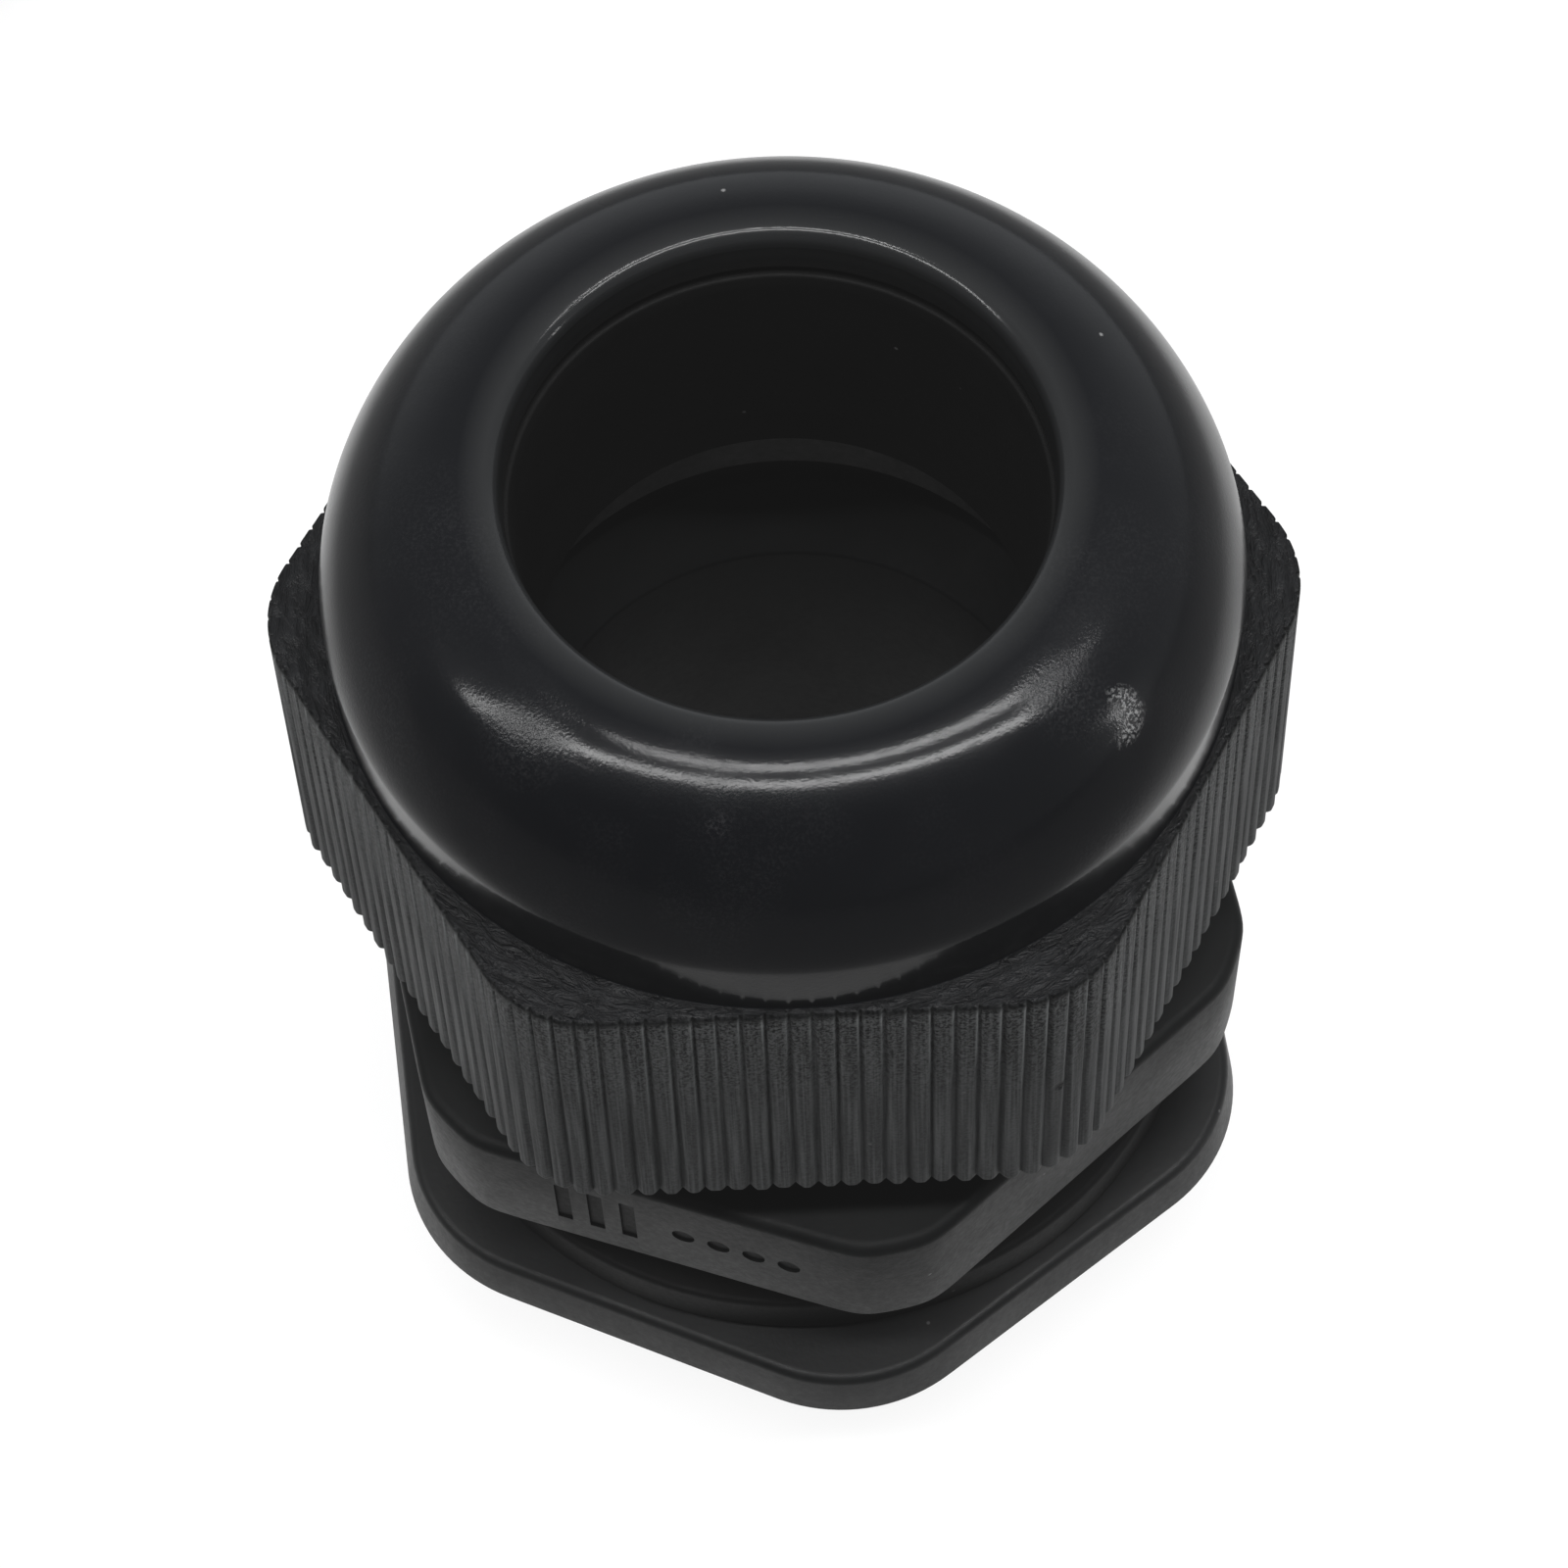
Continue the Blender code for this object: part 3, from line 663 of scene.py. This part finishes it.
def build_locknut(material):
    """The soft-cornered locknut, with a rounded upper rim and a bevelled underside."""
    shares = np.arange(STEM_COLUMNS) / STEM_COLUMNS

    def outline(height, inset):
        inset += LOCK_SHRINK
        x, y, _ = hexagon_edge(shares, LOCK_FLATS - 2 * inset, LOCK_CORNER - inset, LOCK_TURN)
        return at_height(x, y, height)

    under = LOCK_WALL_LOW - LOCK_LOW
    rows = [outline(LOCK_LOW, under)]
    for share in (0.08, 0.5, 0.9):
        rows.append(outline(LOCK_LOW + under * share, under * (1 - share)))
    for height, inset in edge_rounding(LOCK_WALL_LOW + 0.1 * MM, LOCK_HIGH, 0.05 * MM, LOCK_ROUND, 8):
        lean = LOCK_LEAN * (height - LOCK_WALL_LOW) / (LOCK_HIGH - LOCK_WALL_LOW)
        rows.append(outline(height, inset + lean))
    angles = np.arctan2(rows[0][:, 1], rows[0][:, 0])
    rows.append(circle(angles, LOCK_MOUTH, LOCK_HIGH))
    for height in np.arange(LOCK_HIGH - LOCK_LEAD_IN, LOCK_LOW + LOCK_LEAD_IN, -THREAD_ROW):
        rows.append(female_thread(angles, height, ENTRY, LOCK_MINOR, LOCK_MAJOR))
    rows.append(circle(angles, LOCK_MOUTH, LOCK_LOW))
    mesh = closed_mesh("lock_ring", rows, [0] * len(rows))
    finish_mesh(mesh, 45)
    place("lock_ring", mesh, "lock", "locknut", [material])


def turned_piece(name, corners, rounding, body, node, material):
    """A turned ring through these (radius, height) corners, each edge softened."""
    closed = corners + corners[:2]
    profile = softened(closed, rounding)[1:-1]
    angles = even_angles(STEM_COLUMNS)
    rows = [circle(angles, radius, height) for radius, height in profile]
    mesh = closed_mesh(name, rows, [0] * len(rows))
    finish_mesh(mesh)
    place(name, mesh, body, node, [material])


def build_gasket(material):
    """The flat ring that seals against the wall."""
    corners = [
        (GASKET_BORE, GASKET_LOW),
        (GASKET_RADIUS, GASKET_LOW),
        (GASKET_RADIUS, GASKET_HIGH),
        (GASKET_BORE, GASKET_HIGH),
    ]
    turned_piece(
        "sealing_washer", corners, 0.3 * MM, "washer", "gasket", material
    )


def build_seal(material):
    """The rubber sleeve, with a fine raised bead round the rim of its mouth."""
    corners = [
        (SEAL_BORE_LOW, SEAL_LOW),
        (SEAL_RADIUS, SEAL_LOW),
        (SEAL_RADIUS, SEAL_HIGH - 0.3 * MM),
        (BEAD_FOOT_RADIUS, SEAL_HIGH - 0.3 * MM),
        (BEAD_RADII[1], SEAL_HIGH),
        (BEAD_RADII[0], SEAL_HIGH),
        (SEAL_BORE, SEAL_HIGH - 0.5 * MM),
        (SEAL_BORE, SEAL_LOW + 1.6 * MM),
    ]
    turned_piece(
        "cable_seal", corners, 0.12 * MM, "insert", "seal_grommet", material
    )


def finger_slots():
    """Cutters for the slots between the fingers."""
    slots = bmesh.new()
    tall = CAGE_HIGH - FINGER_SLOT_FLOOR + 2 * MM
    for slot in range(FINGERS):
        box = bmesh.ops.create_cube(slots, size=1)["verts"]
        bmesh.ops.scale(slots, verts=box, vec=(6 * MM, FINGER_SLOT, tall))
        bmesh.ops.translate(slots, verts=box, vec=(12 * MM, 0, FINGER_SLOT_FLOOR + tall / 2))
        turn = Matrix.Rotation(math.tau * slot / FINGERS, 3, "Z")
        bmesh.ops.rotate(slots, verts=box, matrix=turn)
    mesh = bpy.data.meshes.new("finger_slots")
    slots.to_mesh(mesh)
    slots.free()
    return mesh


def build_cage(material):
    """The cage of fingers that the nut's cone closes round the seal."""
    corners = [
        (CAGE_BORE, CAGE_LOW),
        (CAGE_SLEEVE_RADIUS, CAGE_LOW),
        (CAGE_SLEEVE_RADIUS, CAGE_COLLAR_LOW),
        (CAGE_COLLAR_RADIUS, CAGE_COLLAR_LOW),
        (CAGE_COLLAR_RADIUS, CAGE_COLLAR_HIGH),
        (FINGER_ROOT_RADIUS, CAGE_LOW + 6.2 * MM),
        (FINGER_TIP_RADIUS, CAGE_HIGH - 0.3 * MM),
        (FINGER_TIP_RADIUS - 0.3 * MM, CAGE_HIGH),
        (CAGE_BORE, CAGE_HIGH),
        (CAGE_BORE, CAGE_LOW + 3.9 * MM),
        (CAGE_LIP_RADIUS, CAGE_LOW + 3.9 * MM),
        (CAGE_LIP_RADIUS, CAGE_LOW + 2.8 * MM),
        (CAGE_BORE, CAGE_LOW + 2.4 * MM),
    ]
    profile = softened(corners + corners[:2], 0.15 * MM, 2)[1:-1]
    angles = even_angles(CAGE_COLUMNS)
    rows = [circle(angles, radius, height) for radius, height in profile]
    mesh = closed_mesh("finger_cage", rows, [0] * len(rows))
    mesh = cut_away(mesh, finger_slots())
    finish_mesh(mesh)
    place("finger_cage", mesh, "insert", "clamp_insert", [material])


# ---- Materials ----


def add_node(tree, kind, settings=None, **inputs):
    """Adds a node. Each input is a value, or a socket to link from; _ in its name stands for a space."""
    node = tree.nodes.new(kind)
    for name, value in (settings or {}).items():
        setattr(node, name, value)
    for name, value in inputs.items():
        socket = node.inputs[int(name[1:])] if name[0] == "_" else node.inputs[name.replace("_", " ")]
        if isinstance(value, bpy.types.NodeSocket):
            tree.links.new(value, socket)
        else:
            socket.default_value = value
    return node


def new_material(name, ior):
    """A material with only its shader, its node tree and that shader."""
    material = bpy.data.materials.new(name)
    material.use_nodes = True
    tree = material.node_tree
    shader = tree.nodes["Principled BSDF"]
    shader.inputs["IOR"].default_value = ior
    return material, tree, shader


def object_point(tree):
    """A point of the surface in the piece's own coordinates, so that its marks ride with it."""
    return add_node(tree, "ShaderNodeTexCoord").outputs["Object"]


def round_point(tree, point, around, outward, up):
    """A point measured round the axis, out from it and up it, each stretched by its own scale."""
    parts = add_node(tree, "ShaderNodeSeparateXYZ", Vector=point).outputs
    angle = add_node(tree, "ShaderNodeMath", {"operation": "ARCTAN2"}, _0=parts["Y"], _1=parts["X"])
    flat = add_node(tree, "ShaderNodeCombineXYZ", X=parts["X"], Y=parts["Y"])
    radius = add_node(tree, "ShaderNodeVectorMath", {"operation": "LENGTH"}, _0=flat.outputs[0])
    return add_node(
        tree,
        "ShaderNodeCombineXYZ",
        X=scaled(tree, angle.outputs[0], around),
        Y=scaled(tree, radius.outputs["Value"], outward),
        Z=scaled(tree, parts["Z"], up),
    ).outputs[0]


def scaled(tree, value, by):
    """The value times a number."""
    return add_node(tree, "ShaderNodeMath", {"operation": "MULTIPLY"}, _0=value, _1=by).outputs[0]


def noise(tree, point, scale, detail=2.0, roughness=0.5, distortion=0.0):
    """Smooth noise, mostly between 0.3 and 0.7."""
    return add_node(
        tree,
        "ShaderNodeTexNoise",
        Vector=point,
        Scale=scale,
        Detail=detail,
        Roughness=roughness,
        Distortion=distortion,
    ).outputs["Fac"]


def ramp(tree, value, low, high, to_low=0.0, to_high=1.0):
    """Maps low..high to to_low..to_high, and holds it there."""
    return add_node(
        tree,
        "ShaderNodeMapRange",
        Value=value,
        From_Min=low,
        From_Max=high,
        To_Min=to_low,
        To_Max=to_high,
    ).outputs[0]


def mixed_colour(tree, share, first, second):
    """The first colour, with this share of the second in it."""
    node = add_node(tree, "ShaderNodeMix", {"data_type": "RGBA"})
    for socket, value in ((node.inputs[0], share), (node.inputs[6], first), (node.inputs[7], second)):
        if isinstance(value, bpy.types.NodeSocket):
            tree.links.new(value, socket)
        else:
            socket.default_value = value if isinstance(value, float) else (*value, 1.0)
    return node.outputs[2]


def total(tree, first, second, operation="ADD"):
    """Two values added up, or joined by another operation."""
    node = add_node(tree, "ShaderNodeMath", {"operation": operation}, _0=first, _1=second)
    return node.outputs[0]


def bump(tree, height, distance, normal=None):
    """A normal bent by this relief, on top of another one if it is given."""
    inputs = {"Height": height, "Distance": distance}
    if normal is not None:
        inputs["Normal"] = normal
    return add_node(tree, "ShaderNodeBump", **inputs).outputs[0]


def specks(tree, point, scale, size, rarity):
    """1 inside small round specks, of which rarity leaves out most, else 0."""
    cells = add_node(tree, "ShaderNodeTexVoronoi", Vector=point, Scale=scale).outputs
    near = ramp(tree, cells["Distance"], size, size * 0.6)
    parts = add_node(tree, "ShaderNodeSeparateColor", Color=cells["Color"]).outputs
    chosen = ramp(tree, parts[0], rarity, rarity + 0.01)
    return total(tree, near, chosen, "MULTIPLY")


def near_point(tree, point, centre, radius, soft):
    """1 within radius of a centre and 0 from soft beyond that, with z over the shoulder, in millimetres."""
    middle = (centre[0] * MM, centre[1] * MM, SHOULDER + centre[2] * MM)
    offset = add_node(tree, "ShaderNodeVectorMath", {"operation": "DISTANCE"}, _0=point, _1=middle)
    return ramp(tree, offset.outputs["Value"], radius * MM, (radius + soft) * MM, 1.0, 0.0)


def dusted(tree, point, base):
    """The colour of a matte surface with a few specks of dust on it."""
    dust = specks(tree, point, 900, 0.08, 0.90)
    return mixed_colour(tree, scaled(tree, dust, 0.6), base, MATTE_DUST)


def moulded_normal(tree, point):
    """The slight sink and swell of a moulded surface."""
    return bump(tree, noise(tree, point, 350, 2.0), 0.010 * MM)


def crescent_scuff_and_glint(tree, point):
    """1 inside the crescent on the dome, else 0, with soft edges."""
    patch = near_point(tree, point, *CRESCENT_PATCH)
    gap = near_point(tree, point, *CRESCENT_GAP)
    return total(tree, total(tree, patch, gap, "SUBTRACT"), 0.0, "MAXIMUM")


def dome_scuffs_and_glint(tree, point, patches, crescent):
    """How scuffed the dome is, 0 to 1: soft patches, single scuffs and the crescent. The first single scuff
    and the crescent also mark where a painted highlight lies.
    """
    scuffs_and_glint = ramp(tree, patches, 0.50, 0.70, 0.0, 0.5)
    for spot in SCUFFS_AND_GLINT:
        scuffs_and_glint = total(tree, scuffs_and_glint, near_point(tree, point, *spot), "MAXIMUM")
    return total(tree, scuffs_and_glint, crescent, "MAXIMUM")


def gloss_material():
    """Polished nylon under a thin haze, with a grain that roughens towards its scuffs, and dust. Painted
    highlights lighten the rim of the opening, a scuff on the right and the crescent.
    """
    material, tree, shader = new_material("gloss_nylon", 1.15)
    shader.inputs["Coat Weight"].default_value = 0.33
    shader.inputs["Coat IOR"].default_value = 1.5
    point = object_point(tree)
    patches = noise(tree, point, 130, 3.0, 0.6)
    waves = noise(tree, point, 380, 2.0)
    grain = noise(tree, point, 8500, 3.0, 0.6)
    scratches = noise(tree, round_point(tree, point, 9, 5200, 5200), 1.0, 1.0)
    hairlines = ramp(tree, scratches, 0.70, 0.74)
    dust = specks(tree, point, 700, 0.07, 0.90)
    crescent = crescent_scuff_and_glint(tree, point)
    scuffs_and_glint = dome_scuffs_and_glint(tree, point, patches, crescent)
    base = mixed_colour(tree, patches, *DOME_COLOURS)
    # Painted highlight: the flat top and the round of the lip are lightened towards grey
    rim_highlight = near_point(tree, point, *RIM_HIGHLIGHT)
    base = mixed_colour(tree, scaled(tree, rim_highlight, 0.36), base, RIM_HIGHLIGHT_COLOUR)
    # Scuffs lighten the colour; on the right this lightening is partly a painted highlight
    lightened = total(tree, scuffs_and_glint, ramp(tree, grain, 0.45, 0.75), "MULTIPLY")
    base = mixed_colour(tree, scaled(tree, lightened, 0.35), base, SCUFF_AND_GLINT_COLOUR)
    # Painted highlight: the crescent's flakes are light grey, standing for the glint of a light to the
    # right broken up by the grain
    glint_flakes = total(tree, crescent, ramp(tree, grain, 0.48, 0.62), "MULTIPLY")
    base = mixed_colour(tree, glint_flakes, base, GLINT_FLAKE_COLOUR)
    base = mixed_colour(tree, dust, base, GLOSS_DUST)
    tree.links.new(base, shader.inputs["Base Color"])
    haze = total(tree, ramp(tree, patches, 0.3, 0.7, 0.26, 0.36), scaled(tree, dust, 0.4))
    tree.links.new(haze, shader.inputs["Roughness"])
    sheen = total(tree, ramp(tree, patches, 0.35, 0.75, 0.07, 0.13), scaled(tree, hairlines, 0.12))
    tree.links.new(total(tree, sheen, scaled(tree, scuffs_and_glint, 0.05)), shader.inputs["Coat Roughness"])
    normal = bump(tree, waves, 0.007 * MM)
    depth = total(tree, scaled(tree, scuffs_and_glint, 0.9), 0.30)
    normal = bump(tree, total(tree, grain, depth, "MULTIPLY"), 0.012 * MM, normal)
    normal = bump(tree, dust, 0.02 * MM, normal)
    tree.links.new(normal, shader.inputs["Normal"])
    tree.links.new(normal, shader.inputs["Coat Normal"])
    return material


def grained_material(name, dark, light, rough, grain, grain_depth, ior):
    """Moulded nylon or rubber with a fine grain, soft clouds of colour and specks of dust."""
    material, tree, shader = new_material(name, ior)
    point = object_point(tree)
    clouds = noise(tree, point, 160, 3.0, 0.6)
    fine = noise(tree, point, grain, 3.0, 0.65)
    base = mixed_colour(tree, ramp(tree, clouds, 0.3, 0.7), dark, light)
    tree.links.new(dusted(tree, point, base), shader.inputs["Base Color"])
    uneven = ramp(tree, clouds, 0.3, 0.7, rough - 0.06, rough + 0.06)
    uneven = total(tree, uneven, ramp(tree, fine, 0.3, 0.7, -0.05, 0.05))
    tree.links.new(uneven, shader.inputs["Roughness"])
    normal = bump(tree, fine, grain_depth, moulded_normal(tree, point))
    tree.links.new(normal, shader.inputs["Normal"])
    return material


def rib_material():
    """The skirt: spark-eroded grain up high, drag marks from the mould, painted highlights on the rib
    edges, painted shade under the shoulder's edge, and a pit darkened by painted shade.
    """
    material, tree, shader = new_material("ribbed_nylon", 1.12)
    point = object_point(tree)
    height = add_node(tree, "ShaderNodeSeparateXYZ", Vector=point).outputs["Z"]
    high = ramp(tree, height, SHOULDER - 7 * MM, SHOULDER - 1 * MM, 0.25, 1.0)
    clouds = noise(tree, point, 160, 3.0, 0.6)
    grain = ramp(tree, noise(tree, point, 7500, 2.0, 0.7), 0.38, 0.62)
    drags = ramp(tree, noise(tree, round_point(tree, point, 140, 0, 160), 1.0, 2.0), 0.42, 0.66)
    speckle = total(tree, total(tree, grain, -0.5), high, "MULTIPLY")
    streaks = scaled(tree, total(tree, drags, -0.5), 0.4)
    mottle = total(tree, total(tree, speckle, streaks), 0.5)
    # Painted shade: the colour, and the painted edge highlight with it, darkens over the top half
    # millimetre of the skirt, under the shoulder's rounded edge
    top_shade = ramp(tree, height, SHOULDER - 0.5 * MM, SHOULDER - 0.1 * MM, 1.0, 0.12)
    mottle = total(tree, mottle, top_shade, "MULTIPLY")
    base = mixed_colour(tree, mottle, *RIB_COLOURS)
    # Painted highlight: light grey along each rib's right edge, patchy with the clouds
    edge = add_node(tree, "ShaderNodeAttribute", {"attribute_name": "edge_highlight"}).outputs["Fac"]
    lightened = total(tree, total(tree, edge, ramp(tree, clouds, 0.35, 0.60), "MULTIPLY"), top_shade, "MULTIPLY")
    base = mixed_colour(tree, lightened, base, EDGE_HIGHLIGHT_COLOUR)
    # Painted shade: the pit is darkened below the ribs' darkest colour
    pit = near_point(tree, point, *SKIRT_PIT)
    pit = total(tree, pit, ramp(tree, grain, 0.0, 0.5, 0.6, 1.0), "MULTIPLY")
    base = mixed_colour(tree, pit, base, PIT_SHADE_COLOUR)
    tree.links.new(dusted(tree, point, base), shader.inputs["Base Color"])
    rough = ramp(tree, clouds, 0.3, 0.7, 0.48, 0.58)
    rough = total(tree, rough, ramp(tree, grain, 0.0, 1.0, -0.05, 0.07))
    tree.links.new(rough, shader.inputs["Roughness"])
    normal = moulded_normal(tree, point)
    normal = bump(tree, total(tree, grain, high, "MULTIPLY"), 0.020 * MM, normal)
    normal = bump(tree, scaled(tree, pit, -1.0), 0.15 * MM, normal)
    tree.links.new(normal, shader.inputs["Normal"])
    return material


def shoulder_material():
    """The spark-eroded finish of the nut's shoulder: wavy ridges that run round it, with painted light on
    their crests and painted shade between them.
    """
    material, tree, shader = new_material("eroded_nylon", 1.26)
    point = object_point(tree)
    flow = noise(tree, round_point(tree, point, 15, 2500, 700), 1.0, 4.0, 0.7, 0.6)
    fine = noise(tree, point, 3800, 3.0, 0.6)
    # Painted light and shade: the colour is lighter where the ridges stand up and darker between them
    ridge_light = ramp(tree, flow, 0.40, 0.65)
    base = mixed_colour(tree, ridge_light, *SHOULDER_LIGHT_AND_SHADE)
    tree.links.new(base, shader.inputs["Base Color"])
    tree.links.new(ramp(tree, fine, 0.3, 0.7, 0.36, 0.52), shader.inputs["Roughness"])
    normal = bump(tree, flow, 0.24 * MM)
    normal = bump(tree, fine, 0.02 * MM, normal)
    tree.links.new(normal, shader.inputs["Normal"])
    return material


# ---- Floor, light and camera ----


def build_floor():
    """A wide plain floor with a pool of glow round the gland, dimmer under the gland and in front."""
    mesh = bpy.data.meshes.new("floor")
    signs = ((-1, -1), (1, -1), (1, 1), (-1, 1))
    corners = [(x * FLOOR_REACH, y * FLOOR_REACH, FLOOR) for x, y in signs]
    mesh.from_pydata(corners, [], [(0, 1, 2, 3)])
    floor = bpy.data.objects.new("floor", mesh)
    bpy.context.scene.collection.objects.link(floor)
    material, tree, shader = new_material("pale_floor", 1.2)
    point = object_point(tree)
    paper = noise(tree, point, 60, 3.0)
    base = mixed_colour(tree, paper, *FLOOR_COLOURS)
    tree.links.new(base, shader.inputs["Base Color"])
    from_gland = add_node(tree, "ShaderNodeVectorMath", {"operation": "LENGTH"}, _0=point)
    near = ramp(tree, from_gland.outputs["Value"], *UNDER_RADII, UNDER_GLOW, FLOOR_GLOW)
    from_pool = add_node(
        tree, "ShaderNodeVectorMath", {"operation": "DISTANCE"}, _0=point, _1=POOL_CENTRE
    )
    pool = ramp(tree, from_pool.outputs["Value"], *POOL_RADII, 1.0, 0.15)
    ahead = add_node(tree, "ShaderNodeSeparateXYZ", Vector=point).outputs["Y"]
    front = ramp(tree, ahead, *FRONT_FADE, 0.22, 1.0)
    glow = total(tree, total(tree, near, pool, "MULTIPLY"), front, "MULTIPLY")
    shader.inputs["Roughness"].default_value = 0.9
    shader.inputs["Emission Color"].default_value = (1.0, 1.0, 1.0, 1.0)
    tree.links.new(glow, shader.inputs["Emission Strength"])
    mesh.materials.append(material)


def add_area(name, position, target, size, power, yaw=0.0):
    """A rectangular light at position whose long side is level, facing target after a turn of yaw."""
    data = bpy.data.lights.new(name, "AREA")
    data.shape = "RECTANGLE"
    data.size, data.size_y = size
    data.energy = power
    light = bpy.data.objects.new(name, data)
    light.location = position
    towards = Vector(position) - Vector(target)
    level = Matrix.Rotation(yaw, 3, "Z")
    tilt = math.atan2(-(level.inverted() @ towards).y, towards.z)
    light.rotation_euler = (level @ Matrix.Rotation(tilt, 3, "X")).to_euler()
    bpy.context.scene.collection.objects.link(light)


def build_lights():
    """Tubes over the gland, one of them wide, and a narrow slot of light to its right."""
    middle = (0, 0, SHOULDER)
    for name, x, y, length, width, power in TUBES:
        add_area(name, (x, y, SHOULDER + TUBE_HEIGHT), middle, (length, width), power)
    add_area("slot_right", (0.56, -0.15, 0.10), middle, (0.012, 0.16), 0.19, yaw=math.radians(75))


def build_room():
    """The light of a dim room, brighter behind the gland and to its right, most so near the horizon."""
    world = bpy.data.worlds.new("studio")
    bpy.context.scene.world = world
    world.use_nodes = True
    tree = world.node_tree
    direction = add_node(tree, "ShaderNodeTexCoord").outputs["Generated"]
    parts = add_node(tree, "ShaderNodeSeparateXYZ", Vector=direction).outputs
    behind = ramp(tree, parts["Y"], -0.6, 0.7, 0.0, 0.38)
    right = ramp(tree, parts["X"], -0.4, 0.9, 0.0, 0.20)
    sides = total(tree, behind, right)
    low = ramp(tree, parts["Z"], 0.95, 0.5, 0.85, 1.0)
    back = ramp(tree, parts["Y"], 0.5, 0.9, 0.0, 0.5)
    skyline = total(tree, back, ramp(tree, parts["Z"], 0.80, 0.40), "MULTIPLY")
    strength = total(tree, total(tree, total(tree, sides, low, "MULTIPLY"), skyline), 0.08)
    background = tree.nodes["Background"]
    background.inputs["Color"].default_value = ROOM_COLOUR
    tree.links.new(strength, background.inputs["Strength"])


def build_camera():
    """The camera, before the gland and looking steeply down at the shoulder of its nut."""
    data = bpy.data.cameras.new("camera")
    data.lens = LENS
    data.sensor_width = 36
    data.shift_x, data.shift_y = SHIFT
    data.clip_start = 0.01
    camera = bpy.data.objects.new("camera", data)
    back = Vector((0, -math.cos(CAMERA_ELEVATION), math.sin(CAMERA_ELEVATION)))
    level = back.to_track_quat("Z", "Y").to_matrix()
    camera.rotation_euler = (level @ Matrix.Rotation(CAMERA_ROLL, 3, "Z")).to_euler()
    camera.location = CAMERA_AIM + back * CAMERA_DISTANCE
    bpy.context.scene.collection.objects.link(camera)
    bpy.context.scene.camera = camera


def set_view():
    """Plain colours, with the blacks lifted a little as by haze in a lens."""
    view = bpy.context.scene.view_settings
    view.view_transform = "Standard"
    view.use_curve_mapping = True
    view.curve_mapping.black_level = (-BLACK_LIFT, -BLACK_LIFT, -BLACK_LIFT)
    view.curve_mapping.update()


def plain_materials():
    """The materials of everything but the nut's outside."""
    matte = grained_material(
        "matte_nylon",
        dark=(0.003, 0.0033, 0.0033),
        light=(0.006, 0.0065, 0.0065),
        rough=0.50,
        grain=3600,
        grain_depth=0.012 * MM,
        ior=1.2,
    )
    # Painted shade: the floors of the sunk marks are darker than the collar
    marks = grained_material(
        "shaded_mark_floor",
        dark=(0.0015, 0.0016, 0.0016),
        light=(0.003, 0.0032, 0.0032),
        rough=0.6,
        grain=3600,
        grain_depth=0.012 * MM,
        ior=1.15,
    )
    ring = grained_material(
        "ring_nylon",
        dark=(0.002, 0.0022, 0.0023),
        light=(0.004, 0.0043, 0.0045),
        rough=0.50,
        grain=3600,
        grain_depth=0.010 * MM,
        ior=1.33,
    )
    thread = grained_material(
        "thread_nylon",
        dark=(0.004, 0.0043, 0.0046),
        light=(0.006, 0.0063, 0.0066),
        rough=0.42,
        grain=3000,
        grain_depth=0.006 * MM,
        ior=1.36,
    )
    rubber = grained_material(
        "seal_rubber",
        dark=(0.002, 0.002, 0.002),
        light=(0.0035, 0.0035, 0.0035),
        rough=0.62,
        grain=4200,
        grain_depth=0.010 * MM,
        ior=1.2,
    )
    return matte, marks, ring, thread, rubber


def build_scene():
    """All pieces, each with its materials, then the floor, the light and the camera."""
    gloss = gloss_material()
    matte, marks, ring, thread, rubber = plain_materials()
    build_nut({"gloss": gloss, "ribs": rib_material(), "shoulder": shoulder_material(), "inside": thread})
    build_body({"collar": matte, "thread": thread, "marks": marks})
    build_locknut(ring)
    build_gasket(rubber)
    build_seal(rubber)
    build_cage(thread)
    build_floor()
    build_lights()
    build_room()
    build_camera()
    set_view()


build_scene()
